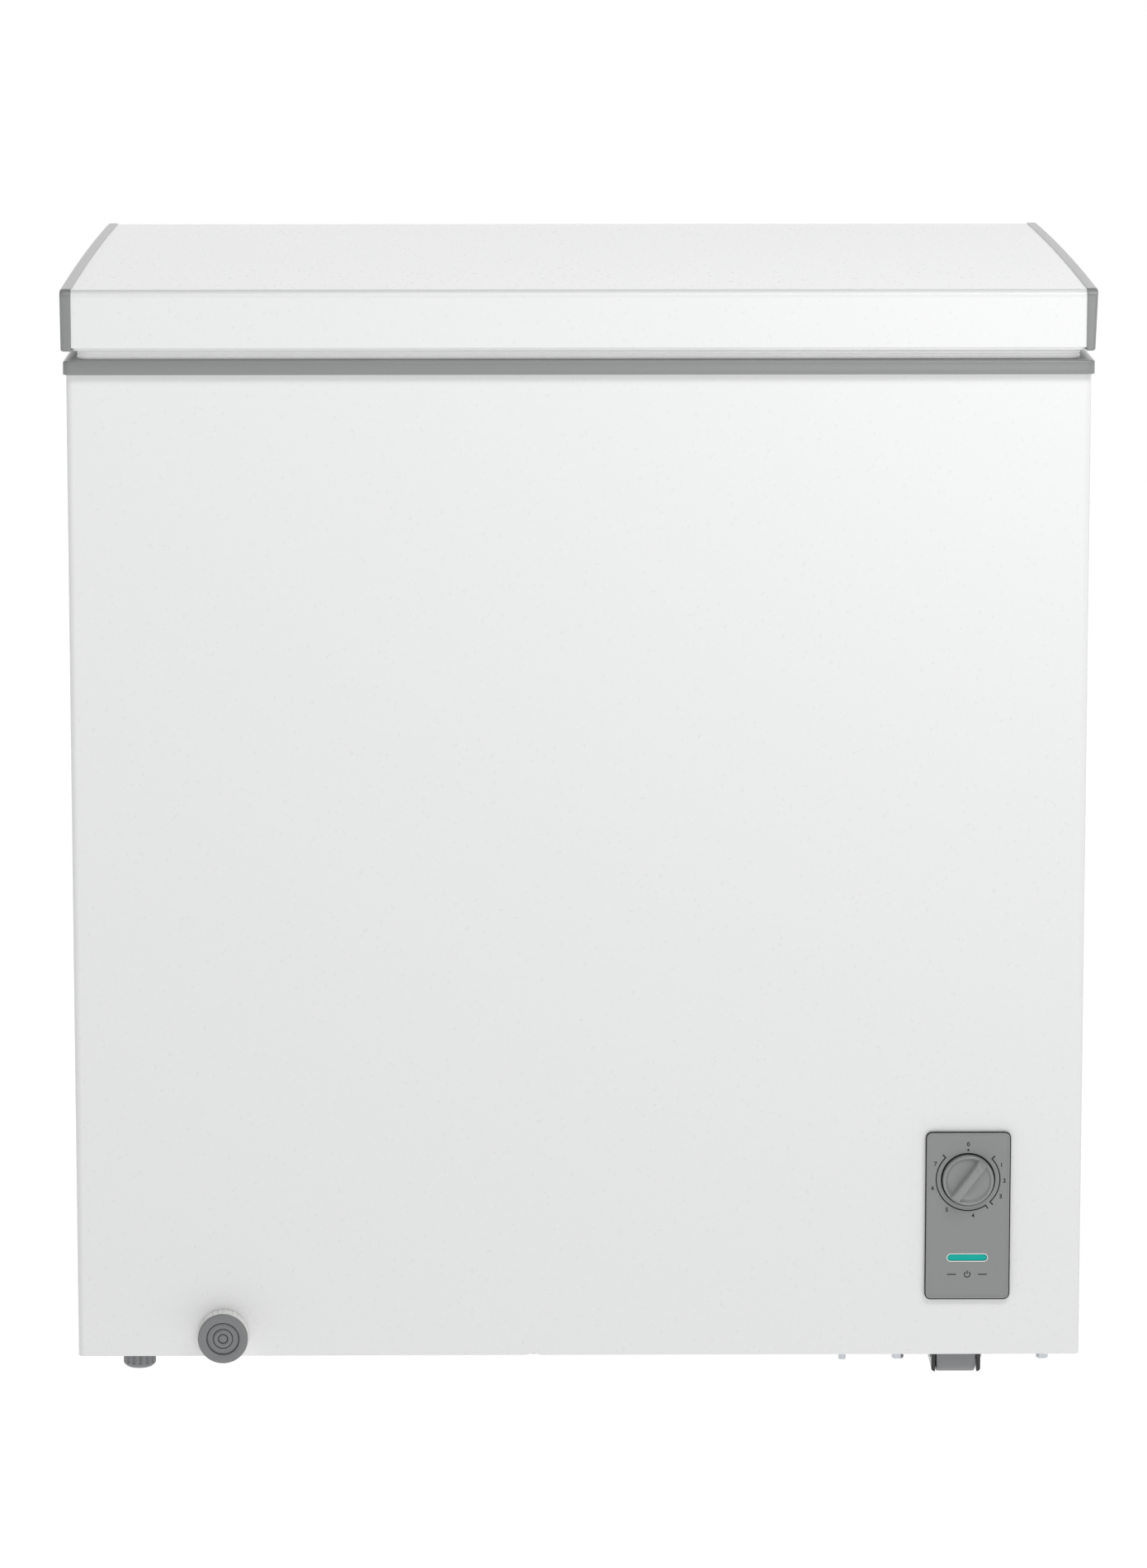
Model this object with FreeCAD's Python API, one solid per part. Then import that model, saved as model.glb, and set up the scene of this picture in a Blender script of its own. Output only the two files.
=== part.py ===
"""Chest freezer with a hinged lid, compressor bay, front thermostat panel, front drain, feet and rollers.

Millimetres, +Z up, +X to the right of someone facing the front, front towards -Y.
The origin is on the floor, in the middle of the outer box.
"""
import FreeCAD, Part
import math
import os

from FreeCAD import Vector as V

# ---------------------------------------------------------------- overall sizes
width = 780.0              # over the lid's end caps
depth = 570.0              # face of the drain dial to the back of the hinge housings
height = 850.0             # floor to the top of the lid
ground_gap = 20.0          # floor to the cabinet's bottom edge

# ---------------------------------------------------------------- cabinet shell
side_step = 3.6            # cabinet side, in from the lid's end cap
dial_stand = 17.0          # drain dial, out from the front panel
hinge_stand = 23.0         # hinge housing, out from the cabinet's back edge
sheet = 0.8                # steel sheet
wrap_corner = 5.0          # bend radius of the front corners
wrap_flange = 12.0         # folded edges at the back and at the bottom of the sides
front_flange = 24.0        # folded edge under the front, and under the back panel
relief_x = -35.0           # small notch in the bottom front edge
relief_half = 5.0
relief_height = 1.5
relief_depth = 3.0
insulation = 46.0          # outer face of the cabinet to the inside of the tub
floor_insulation = 50.0    # bottom edge to the tub's floor

# ---------------------------------------------------------------- collar frame and tub
collar_height = 10.5
collar_lap = 5.5           # how far the sheet goes up inside the collar
collar_side = 2.1          # collar, out from the cabinet's sides
collar_front = 4.5         # collar, out from the front panel
collar_corner = 6.0
ledge_width = 15.5         # shelf round the mouth that the basket's rails lie on
ledge_drop = 6.5
tub_wall = 1.2
tub_corner = 25.0
tub_floor_edge = 14.0
tub_lip = 12.0

# ---------------------------------------------------------------- compressor bay
bay_width = 220.0
bay_height = 245.0
step_insulation = 42.0     # bay sheet to the raised part of the tub

# ---------------------------------------------------------------- lid
lid_thickness = 47.0       # white edge to the crest of the end caps
lid_gap = 10.0             # collar top to the lid's white edge
lid_overhang = 7.0         # end caps, out from the front panel
lid_back_overhang = 10.0   # end caps, out from the cabinet's back edge
lid_crown = 2.5
lid_edge_radius = 6.0
cap_width = 8.5
cap_proud = 0.8
cap_drop = 2.5             # end caps, below the white edge
cap_wall = 2.6
lid_tray_wall = 2.0
lid_tray_drop = 6.5        # inner panel, below the lid's bottom face
gasket_inset = 10.0        # in from the collar's edge
gasket_width = 16.0
gasket_corner = 10.0
magnet_width = 9.0
magnet_height = 3.0
seal_gap = 0.3             # gasket to collar when shut

# ---------------------------------------------------------------- lid hinges
hinge_inset = 130.0        # hinge centre from the lid's end
hinge_width = 42.0
hinge_wall = 2.0
hinge_height = 104.0
hinge_foot = 14.0          # width of the screwed feet beside the housing
hinge_pin_radius = 3.0
hinge_running_gap = 0.06
leaf_thickness = 2.5
leaf_width = 34.0
leaf_height = 42.0
boss_radius = 5.0
pivot_behind_lid = 3.0
pivot_above_collar = 1.0
lid_opening_deg = 80.0
cam_rest_radius = 12.0
cam_open_radius = 6.0
cam_width = 12.0
plunger_gap = 0.45         # cam to plunger nose
plunger_nose = 2.5
plunger_width = 12.0
plunger_length = 24.0
spring_wire = 1.6
spring_radius = 4.6
spring_turns = 8

# ---------------------------------------------------------------- control panel
panel_from_side = 87.4     # panel centre in from the cabinet's side
panel_width = 64.0
panel_height = 131.0
panel_bottom = 45.0        # above the cabinet's bottom edge
panel_thickness = 3.0
panel_corner = 3.5
panel_skirt = 8.0
knob_above_panel_bottom = 94.3
knob_radius = 19.7
knob_stand = 11.0
knob_recess_gap = 1.3
knob_recess_depth = 2.0
knob_rest_deg = 37.0       # pointer, clockwise from straight up
shaft_radius = 3.0
shaft_gap = 0.06
bushing_radius = 4.5
thermostat_depth = 22.0
lamp_above_panel_bottom = 32.5
lamp_length = 30.6
lamp_height = 5.3

# ---------------------------------------------------------------- drain
drain_from_side = 112.4
drain_height = 38.0        # floor to the drain's axis
drain_intake_back = 98.0   # front panel to the floor drain
dial_radius = 19.5
dial_wall = 3.0
spout_radius = 8.0
spout_gap = 0.08
spout_wall = 2.6
sleeve_wall = 2.0
drain_travel = 12.0        # how far the spout pulls out
plug_radius = 8.0

# ---------------------------------------------------------------- feet and rollers
foot_from_side = 44.4
foot_setback = 46.0
foot_radius = 12.5
foot_height = 12.0
stud_radius = 4.0
stud_gap = 0.05
socket_radius = 7.0
socket_height = 22.0
roller_from_side = 94.4
roller_setback = 25.0
roller_radius = 15.0
roller_width = 30.0
roller_side_gap = 1.0
axle_radius = 3.0
axle_gap = 0.07
axle_head = 4.5
bracket_wall = 3.0
bracket_floor_gap = 3.0
bracket_half_length = 14.0

# ---------------------------------------------------------------- refrigeration
coil_radius = 3.2
coil_gap = 0.3
coil_pitch = 58.0
coil_stop = 60.0           # condenser turns, in front of the back panel
compressor_x = 124.0
compressor_y = 150.0
compressor_z = 160.0
bush_radius = 12.0
bush_height = 14.0
plate_thickness = 1.6

# ---------------------------------------------------------------- basket
basket_width = 200.0
basket_depth_down = 190.0
basket_wall = 4.0
basket_clearance = 6.0
rail_thickness = 4.4

# ---------------------------------------------------------------- places that follow
half = width / 2
body_half = half - side_step
body_front = -depth / 2 + dial_stand
body_back = depth / 2 - hinge_stand
body_bottom = ground_gap
inner_half = body_half - sheet
inner_front = body_front + sheet
inner_back = body_back - 2 * sheet
panel_outer = body_back - sheet

cap_front = body_front - lid_overhang
cap_back = body_back + lid_back_overhang
lid_front = cap_front + cap_proud
lid_back = cap_back - cap_proud
lid_top = height - cap_proud
lid_half = half - cap_width

lid_bottom = height - lid_thickness
collar_top = lid_bottom - lid_gap
collar_bottom = collar_top - collar_height
wrap_top = collar_bottom + collar_lap
ledge_top = collar_top - ledge_drop

tub_half = body_half - insulation
tub_front = body_front + insulation
tub_back = body_back - insulation
tub_floor = body_bottom + floor_insulation

bay_left = inner_half - bay_width
bay_top = body_bottom + bay_height
step_x = bay_left - step_insulation
step_z = bay_top + step_insulation

pan_top = body_bottom + 2 * sheet
foam_top = collar_bottom - tub_wall

tray_face = lid_bottom - lid_tray_wall
lid_inner_face = tray_face - lid_tray_drop

pivot_y = cap_back + pivot_behind_lid
pivot_z = collar_top + pivot_above_collar
hinge_x = half - hinge_inset
hinge_top = pivot_z - 2.5
hinge_bottom = pivot_z - hinge_height
hinge_screw_reach = hinge_width / 2 + hinge_wall + hinge_foot / 2

panel_x = body_half - panel_from_side
panel_z0 = body_bottom + panel_bottom
panel_z1 = panel_z0 + panel_height
panel_face = body_front - panel_thickness
knob_z = panel_z0 + knob_above_panel_bottom
lamp_z = panel_z0 + lamp_above_panel_bottom
thermostat_front = body_front + panel_skirt
thermostat_back = thermostat_front + thermostat_depth

drain_x = -body_half + drain_from_side
drain_y = body_front + drain_intake_back
dial_face = -depth / 2

roller_x = body_half - roller_from_side
roller_ys = (body_front + roller_setback, body_back - roller_setback)
foot_x = -body_half + foot_from_side
foot_ys = (body_front + foot_setback, body_back - foot_setback)
base_top = body_bottom
base_bottom = base_top - plate_thickness
gland_x = bay_left + 34
gland_z = body_bottom + 26

nodes = {}


# ---------------------------------------------------------------- shape helpers
def box(x0, x1, y0, y1, z0, z1):
    return Part.makeBox(x1 - x0, y1 - y0, z1 - z0, V(x0, y0, z0))


def rod(radius, start, end):
    run = end.sub(start)
    return Part.makeCylinder(radius, run.Length, start, run)


def upright_edges(shape, keep=lambda p: True):
    """Straight edges along Z whose place passes the test."""
    found = []
    for edge in shape.Edges:
        a, b = edge.Vertexes[0].Point, edge.Vertexes[-1].Point
        if abs(a.x - b.x) < 1e-6 and abs(a.y - b.y) < 1e-6 and abs(a.z - b.z) > 1e-6 and keep(a):
            found.append(edge)
    return found


def level_edges(shape, z):
    """Edges that lie in the plane at height z."""
    return [e for e in shape.Edges if all(abs(v.Point.z - z) < 1e-6 for v in e.Vertexes)]


def column(x0, x1, y0, y1, z0, z1, radius, keep=lambda p: True):
    """Box with rounded upright corners."""
    shape = box(x0, x1, y0, y1, z0, z1)
    return shape.makeFillet(radius, upright_edges(shape, keep))


def path(points, bend):
    """Wire of straight runs joined by tangent arcs of radius bend."""
    points = [V(*p) for p in points]
    edges = []
    start = points[0]
    for before, corner, after in zip(points, points[1:], points[2:]):
        to_start = before.sub(corner).normalize()
        to_end = after.sub(corner).normalize()
        inner = to_start.getAngle(to_end)
        reach = bend / math.tan(inner / 2)
        middle = V(to_start).add(to_end).normalize().multiply(bend / math.sin(inner / 2) - bend)
        arc_start = corner.add(V(to_start).multiply(reach))
        arc_end = corner.add(V(to_end).multiply(reach))
        edges.append(Part.LineSegment(start, arc_start).toShape())
        edges.append(Part.Arc(arc_start, corner.add(middle), arc_end).toShape())
        start = arc_end
    edges.append(Part.LineSegment(start, points[-1]).toShape())
    return Part.Wire(edges)


def tube(points, radius, bend):
    line = path(points, bend)
    heading = V(*points[1]).sub(V(*points[0]))
    ring = Part.Wire([Part.Circle(V(*points[0]), heading, radius).toShape()])
    return line.makePipeShell([ring], True, False)


def fuse(shapes):
    shapes = list(shapes)
    return shapes[0].multiFuse(shapes[1:]).removeSplitter() if len(shapes) > 1 else shapes[0]


def mirror_x(shape):
    return shape.mirror(V(0, 0, 0), V(1, 0, 0))


def ring_band(x0, x1, y0, y1, z0, z1, corner, band):
    """Rectangular ring of the given band width, with rounded corners."""
    outer = column(x0, x1, y0, y1, z0, z1, corner)
    inner_corner = max(corner - band, 1.0)
    hole = column(x0 + band, x1 - band, y0 + band, y1 - band, z0 - 1, z1 + 1, inner_corner)
    return outer.cut(hole)


def add(name, shape):
    nodes[name] = shape


# ---------------------------------------------------------------- fastener places
def screw_back(x, z, face, length=7.0):
    """Pan-head screw driven forward into a face that looks to the back: its solid and its hole."""
    head = rod(4.0, V(x, face, z), V(x, face + 2.4, z))
    head = head.makeFillet(1.4, [e for e in head.Edges if all(v.Point.y > face + 1 for v in e.Vertexes)])
    slot = box(x - 3, x + 3, face + 1.4, face + 3, z - 0.5, z + 0.5)
    cross = box(x - 0.5, x + 0.5, face + 1.4, face + 3, z - 3, z + 3)
    solid = head.cut(slot).cut(cross).fuse(rod(1.9, V(x, face - length, z), V(x, face, z)))
    hole = rod(2.1, V(x, face - length - 0.5, z), V(x, face + 1, z))
    return solid, hole


grille = dict(x0=bay_left + 26, x1=inner_half - 20, z0=body_bottom + 46, z1=body_bottom + 216, t=2.0)
grille_screws = [(x, z) for x in (grille["x0"] + 7, grille["x1"] - 7)
                 for z in (grille["z0"] + 7, grille["z1"] - 7)]
hinge_screws = [
    (side * (hinge_x + dx), z)
    for side in (-1, 1)
    for dx in (-hinge_screw_reach, hinge_screw_reach)
    for z in (hinge_bottom + 10, hinge_top - 24)
]
leaf_screws = [(side * hinge_x + dx, pivot_z + dz) for side in (-1, 1) for dx in (-10, 10) for dz in (22, 38)]
base_bolts = [(roller_x + dx, y) for dx in (-45.0, 67.0) for y in (body_front + 15, body_back - 12)]
bush_places = [
    (cx, cy) for cx in (-40.0, 40.0) for cy in (-compressor_y / 2 - 12, compressor_y / 2 + 12)
]
compressor_at = V((bay_left + inner_half) / 2, body_back - 200, base_top)


def base_windows(z0, z1):
    """Cut-outs that let the roller brackets stand up through the floor of the bay."""
    reach_x = roller_width / 2 + roller_side_gap + bracket_wall + 0.6
    reach_y = max(bracket_half_length, roller_radius) + 0.8
    windows = [box(roller_x - reach_x, roller_x + reach_x, y - reach_y, y + reach_y, z0, z1)
               for y in roller_ys]
    return windows + axle_head_room()


def axle_head_room():
    """Notches beside the brackets for the riveted heads of the axles."""
    reach = roller_width / 2 + roller_side_gap + bracket_wall + 3.0
    return [rod(axle_head + 0.6, V(roller_x - reach, y, roller_radius), V(roller_x + reach, y, roller_radius))
            for y in roller_ys]


def bolt_holes(z0, z1):
    return [rod(2.7, V(x, y, z0), V(x, y, z1)) for x, y in base_bolts]


# ---------------------------------------------------------------- cabinet sheet metal
def is_front(p):
    return p.y < 0


def build_shell():
    outer = column(-body_half, body_half, body_front, body_back, body_bottom, wrap_top, wrap_corner, is_front)
    room = column(
        -inner_half, inner_half, inner_front, body_back - sheet,
        body_bottom + sheet, wrap_top + 1, wrap_corner - sheet, is_front,
    )
    floor_hole = box(
        -body_half + wrap_flange, body_half - wrap_flange,
        body_front + front_flange, body_back + 1, body_bottom - 1, body_bottom + sheet + 1,
    )
    back_hole = box(
        -body_half + wrap_flange, body_half - wrap_flange,
        body_back - 2 * sheet, body_back + 1, body_bottom - 1, wrap_top + 1,
    )
    wrap = outer.cut(room).cut(floor_hole).cut(back_hole)
    cutout = box(
        panel_x - panel_width / 2 + 4, panel_x + panel_width / 2 - 4,
        body_front - 1, body_front + sheet + 1, panel_z0 + 7, panel_z1 - 7,
    )
    drain = rod(spout_radius + sleeve_wall + 0.4, V(drain_x, body_front - 1, drain_height),
                V(drain_x, body_front + sheet + 1, drain_height))
    tools = [cutout, drain] + base_windows(body_bottom - 1, body_bottom + 2) + bolt_holes(body_bottom - 1,
                                                                                          body_bottom + 2)
    # louvres for the compressor bay, in the right-hand side
    louvre_y0 = compressor_at.y - 92
    for row in range(10):
        z = body_bottom + 52 + row * 16
        for column_y in (louvre_y0, louvre_y0 + 70):
            tools.append(box(body_half - sheet - 1, body_half + 1, column_y, column_y + 56, z, z + 5))
    # relief in the bottom edge, where the flange under the front was joined
    relief = Part.Face(Part.makePolygon([
        V(relief_x - relief_half, body_front - 1, body_bottom - 1),
        V(relief_x - relief_half, body_front - 1, body_bottom + 0.2),
        V(relief_x, body_front - 1, body_bottom + relief_height),
        V(relief_x + relief_half, body_front - 1, body_bottom + 0.2),
        V(relief_x + relief_half, body_front - 1, body_bottom - 1),
        V(relief_x - relief_half, body_front - 1, body_bottom - 1),
    ]))
    tools.append(relief.extrude(V(0, 1 + relief_depth, 0)))
    for tool in tools:
        wrap = wrap.cut(tool)
    add("outer_wrap", wrap)

    back = box(-inner_half, inner_half, panel_outer - sheet, panel_outer, body_bottom + sheet, foam_top)
    lip_half = body_half - wrap_flange - 1
    back = back.fuse(box(-lip_half, lip_half, body_back - front_flange, panel_outer, body_bottom,
                         body_bottom + sheet))
    margin = 10.0
    tools = [
        box(grille["x0"] + margin + 3, grille["x1"] - margin - 3, panel_outer - 3, panel_outer + 1,
            grille["z0"] + margin + 3, grille["z1"] - margin - 3),
        rod(8.2, V(gland_x, panel_outer - 3, gland_z), V(gland_x, panel_outer + 1, gland_z)),
    ]
    tools += [screw_back(x, z, panel_outer)[1] for x, z in grille_screws + hinge_screws]
    tools += base_windows(body_bottom - 1, body_bottom + 2) + bolt_holes(body_bottom - 1, body_bottom + 2)
    for tool in tools:
        back = back.cut(tool)
    add("back_panel", back.removeSplitter())

    pan = column(-inner_half, bay_left, inner_front, inner_back, body_bottom + sheet, pan_top,
                 wrap_corner - sheet,
                 lambda p: p.y < 0 and p.x < 0)
    for y in foot_ys:
        pan = pan.cut(rod(stud_radius + 1, V(foot_x, y, body_bottom), V(foot_x, y, pan_top + 1)))
    add("base_pan", pan)

    roof = column(bay_left, inner_half, inner_front, inner_back, bay_top, bay_top + sheet,
                  wrap_corner - sheet,
                  lambda p: p.y < 0 and p.x > bay_left + 1)
    wall = box(bay_left, bay_left + sheet, inner_front, inner_back, body_bottom + sheet, bay_top + sheet)
    add("compressor_bay_panel", roof.fuse(wall).removeSplitter())

    plate = box(bay_left - 10, inner_half - 2, body_front + 9, body_back - 5, base_bottom, base_top)
    upstand = box(bay_left + 12, bay_left + 12 + plate_thickness, body_front + 30, body_back - 30, base_top,
                  base_top + 12)
    plate = plate.fuse(upstand)
    for tool in base_windows(base_bottom - 1, base_top + 1) + bolt_holes(base_bottom - 1, base_top + 1):
        plate = plate.cut(tool)
    for cx, cy in bush_places:
        plate = plate.cut(rod(4.1, V(compressor_at.x + cx, compressor_at.y + cy, base_bottom - 1),
                              V(compressor_at.x + cx, compressor_at.y + cy, base_top + 1)))
    add("compressor_base_plate", plate.removeSplitter())

    bolts = []
    for x, y in base_bolts:
        washer = rod(5.2, V(x, y, base_bottom - 1.2), V(x, y, base_bottom))
        corners = [V(x + 4.6 * math.cos(math.radians(60 * k)), y + 4.6 * math.sin(math.radians(60 * k)),
                     base_bottom - 5.2)
                   for k in range(7)]
        head = Part.Face(Part.makePolygon(corners)).extrude(V(0, 0, 4.0))
        shank = rod(2.5, V(x, y, base_bottom - 1.2), V(x, y, base_top + 7))
        bolts.append(fuse([washer, head, shank]))
    rivet = rod(2.9, V(base_bolts[0][0] - 43, body_front + 15, base_bottom - 6),
                V(base_bolts[0][0] - 43, body_front + 15, base_bottom))
    rivet = rivet.cut(rod(1.7, V(base_bolts[0][0] - 43, body_front + 15, base_bottom - 7),
                          V(base_bolts[0][0] - 43, body_front + 15, base_bottom - 1.5)))
    add("base_plate_bolts", Part.makeCompound(bolts + [rivet]))


# ---------------------------------------------------------------- tub, foam and collar
def tub_solid(grow, top):
    """The tub's room grown by a wall, as a solid up to the given height."""
    corner = tub_corner + grow
    edge = tub_floor_edge + grow

    def well(x0, x1, z0, z1):
        shape = column(x0 - grow, x1 + grow, tub_front - grow, tub_back + grow, z0 - grow, z1, corner)
        return shape.makeFillet(edge, level_edges(shape, z0 - grow))

    upper = well(-tub_half, tub_half, step_z, top)
    lower = well(-tub_half, step_x, tub_floor, step_z + 2 * tub_corner)
    return upper.fuse(lower).removeSplitter()


def coil_levels():
    z = step_z + 30
    levels = []
    while z < collar_bottom - 40:
        levels.append(z)
        z += coil_pitch
    return levels


def build_tub():
    lip = column(-tub_half - tub_lip, tub_half + tub_lip, tub_front - tub_lip, tub_back + tub_lip,
                 foam_top, collar_bottom, tub_corner + tub_lip)
    liner = tub_solid(tub_wall, collar_bottom).fuse(lip).cut(tub_solid(0, collar_bottom + 1))
    liner = liner.cut(rod(11.0, V(drain_x, drain_y, tub_floor - 5), V(drain_x, drain_y, tub_floor + 5)))
    add("inner_liner", liner)

    outer = column(-body_half - collar_side, body_half + collar_side, body_front - collar_front, body_back,
                   collar_bottom, collar_top, collar_corner, is_front)
    bevel = [e for e in level_edges(outer, collar_top) if e.CenterOfMass.y < body_back - 1]
    outer = outer.makeChamfer(1.0, bevel)
    mouth = column(-tub_half, tub_half, tub_front, tub_back, collar_bottom - 1, collar_top + 1, tub_corner)
    ledge = column(-tub_half - ledge_width, tub_half + ledge_width, tub_front - ledge_width,
                   tub_back + ledge_width,
                   ledge_top, collar_top + 1, tub_corner + ledge_width)
    seat = column(-body_half - 0.05, body_half + 0.05, body_front - 0.05, body_back + 1,
                  collar_bottom - 1, wrap_top + 0.1, wrap_corner, is_front)
    core = column(-inner_half + 0.3, inner_half - 0.3, inner_front + 0.3, body_back - 3 * sheet,
                  collar_bottom - 1, wrap_top + 0.2, wrap_corner - sheet, is_front)
    collar = outer.cut(mouth).cut(ledge).cut(seat.cut(core))
    add("collar_frame", collar)

    foam = column(-inner_half, inner_half, inner_front, inner_back, pan_top, foam_top, wrap_corner - sheet,
                  is_front)
    groove = 2 * (coil_radius + coil_gap) + 0.4
    grown = tub_wall + groove
    tools = [tub_solid(tub_wall, foam_top + 1), box(bay_left, inner_half + 1, inner_front - 1, inner_back + 1,
                                                   body_bottom, bay_top + sheet)]
    levels = coil_levels()
    for z in levels:
        tools.append(column(-tub_half - grown, tub_half + grown, tub_front - grown, tub_back + grown,
                            z - groove / 2, z + groove / 2, tub_corner + grown))
        band = column(-inner_half - 1, inner_half + 1, inner_front - 1, inner_back - 30, z - groove / 2,
                      z + groove / 2, 2.0)
        keep = column(-inner_half + groove, inner_half - groove, inner_front + groove, inner_back,
                      z - groove, z + groove, 9.0, is_front)
        tools.append(band.cut(keep))
    tools.append(column(-tub_half - grown, tub_half + grown, tub_back - tub_corner - 10, tub_back + grown,
                        levels[0] - groove / 2, levels[-1] + groove / 2, tub_corner + grown,
                        lambda p: p.y > tub_back))
    for x0, x1 in ((-inner_half - 1, -inner_half + groove), (inner_half - groove, inner_half + 1)):
        tools.append(box(x0, x1, inner_back - coil_stop - 16, inner_back - 30,
                         levels[0] - groove / 2, levels[-1] + groove / 2))
    reach = spout_radius + sleeve_wall + 0.6
    tools.append(box(drain_x - reach, drain_x + reach, inner_front - 1, drain_y + reach,
                     drain_height - reach, drain_height + reach))
    tools.append(rod(12.0, V(drain_x, drain_y, drain_height), V(drain_x, drain_y, tub_floor)))
    for y in foot_ys:
        tools.append(rod(socket_radius + 0.2, V(foot_x, y, pan_top - 1),
                         V(foot_x, y, pan_top + socket_height + 0.4)))
        tools.append(box(foot_x - 15.2, foot_x + 15.2, y - 15.2, y + 15.2, pan_top - 1, pan_top + 2.4))
    tools += [screw_back(x, z, panel_outer)[1] for x, z in hinge_screws]
    for tool in tools:
        foam = foam.cut(tool)
    add("cabinet_foam", foam)


# ---------------------------------------------------------------- coils and compressor
def build_refrigeration():
    levels = coil_levels()
    off = tub_wall + coil_gap + coil_radius
    left, right = -tub_half - off, tub_half + off
    front, back = tub_front - off, tub_back + off
    points = [(left, back, levels[0])]
    for k, z in enumerate(levels):
        points += [(left, front, z), (right, front, z)]
        if k + 1 < len(levels):
            points += [(right, back, z), (left, back, levels[k + 1])]
    points.append((right, back - 60, levels[-1]))
    points[0] = (left, back - 60, levels[0])
    add("evaporator_coil", tube(points, coil_radius, tub_corner + off))

    off = coil_gap + coil_radius
    side, front, back = inner_half - off, inner_front + off, inner_back - coil_stop + off
    points = []
    for k, z in enumerate(levels):
        run = [(-side, back, z), (-side, front, z), (side, front, z), (side, back, z)]
        points += run if k % 2 == 0 else run[::-1]
    add("condenser_coil", tube(points, coil_radius, 12.0))

    cx, cy = compressor_at.x, compressor_at.y
    z0 = base_top + bush_height + 2.0
    shell = column(cx - compressor_x / 2, cx + compressor_x / 2, cy - compressor_y / 2, cy + compressor_y / 2,
                   z0, z0 + compressor_z, 50.0)
    shell = shell.makeFillet(24.0, level_edges(shell, z0) + level_edges(shell, z0 + compressor_z))
    seam_z = z0 + compressor_z * 0.52
    seam = column(cx - compressor_x / 2 - 3, cx + compressor_x / 2 + 3, cy - compressor_y / 2 - 3,
                  cy + compressor_y / 2 + 3, seam_z, seam_z + 3, 53.0)
    frame = column(cx - 52, cx + 52, cy - compressor_y / 2 - 24, cy + compressor_y / 2 + 24, z0 - 2, z0, 10.0)
    for bx, by in bush_places:
        frame = frame.cut(rod(4.1, V(cx + bx, cy + by, z0 - 3), V(cx + bx, cy + by, z0 + 1)))
    skirt = column(cx - 30, cx + 30, cy - 40, cy + 40, z0, z0 + 20, 10.0)
    body = fuse([shell, seam, frame, skirt])
    add("compressor_shell", body)

    bushes, studs = [], []
    for bx, by in bush_places:
        x, y = cx + bx, cy + by
        bush = rod(bush_radius, V(x, y, base_top),
                   V(x, y, z0 - 2)).cut(rod(4.1, V(x, y, base_top), V(x, y, z0)))
        groove = rod(bush_radius + 1, V(x, y, base_top + 5), V(x, y, base_top + 8))
        bushes.append(bush.cut(groove.cut(rod(bush_radius - 2.5, V(x, y, base_top), V(x, y, z0)))))
        stud = rod(4.0, V(x, y, base_bottom), V(x, y, z0 + 1))
        studs.append(stud.fuse(rod(8.0, V(x, y, z0), V(x, y, z0 + 4))))
    add("compressor_bushes", Part.makeCompound(bushes))
    add("compressor_bolts", Part.makeCompound(studs))

    face = cy - compressor_y / 2
    cover = column(cx - 24, cx + 24, face - 34, face + 14, z0 + 52, z0 + 112, 5.0).cut(body)
    add("starter_cover", cover.Solids[0] if cover.Solids else cover)

    side = cx - compressor_x / 2
    low = z0 + 60
    drier_x, drier_y = side - 22, cy + 95
    drier = fuse([
        rod(9.0, V(drier_x, drier_y, low + 20), V(drier_x, drier_y, low + 90)),
        Part.makeCone(3.2, 9.0, 10, V(drier_x, drier_y, low + 10)),
        Part.makeCone(9.0, 3.2, 10, V(drier_x, drier_y, low + 90)),
    ])
    add("filter_drier", drier)
    lines = [
        tube([(side, cy + 18, low), (side - 16, cy + 18, low), (side - 16, cy + 18, bay_top)], coil_radius,
             10.0),
        tube([(side, cy - 18, low - 14), (side - 18, cy - 18, low - 14), (side - 18, cy - 18, bay_top - 30),
              (bay_left + sheet, cy - 18, bay_top - 30)], 2.6, 10.0),
        tube([(bay_left + sheet, drier_y, bay_top - 22), (drier_x, drier_y, bay_top - 22),
              (drier_x, drier_y, low + 100)],
             2.6, 8.0),
        tube([(drier_x, drier_y, low + 10), (drier_x, drier_y, low - 8), (drier_x, drier_y - 30, low - 8),
              (drier_x, drier_y - 30, bay_top)], 1.2, 6.0),
    ]
    add("refrigerant_lines", Part.makeCompound(lines))

    harness = [
        tube([(panel_x - 10, thermostat_back, knob_z - 6), (panel_x - 10, thermostat_back + 40, knob_z - 6),
              (panel_x - 10, thermostat_back + 52, z0 + 82), (cx, face - 70, z0 + 82),
              (cx, face - 34, z0 + 82)], 3.2, 12.0),
        tube([(cx - 24, face - 18, z0 + 66), (gland_x + 5, face - 18, z0 + 66),
              (gland_x + 5, face - 18, gland_z),
              (gland_x, face + 30, gland_z), (gland_x, body_back - 16, gland_z)], 3.2, 12.0),
    ]
    add("wiring_harness", Part.makeCompound(harness))
    sensor_x = panel_x + 10
    add("sensor_tube", tube([(sensor_x, thermostat_back, knob_z), (sensor_x, thermostat_back + 24, knob_z),
                             (sensor_x, thermostat_back + 24, bay_top)], 1.2, 8.0))


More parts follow.
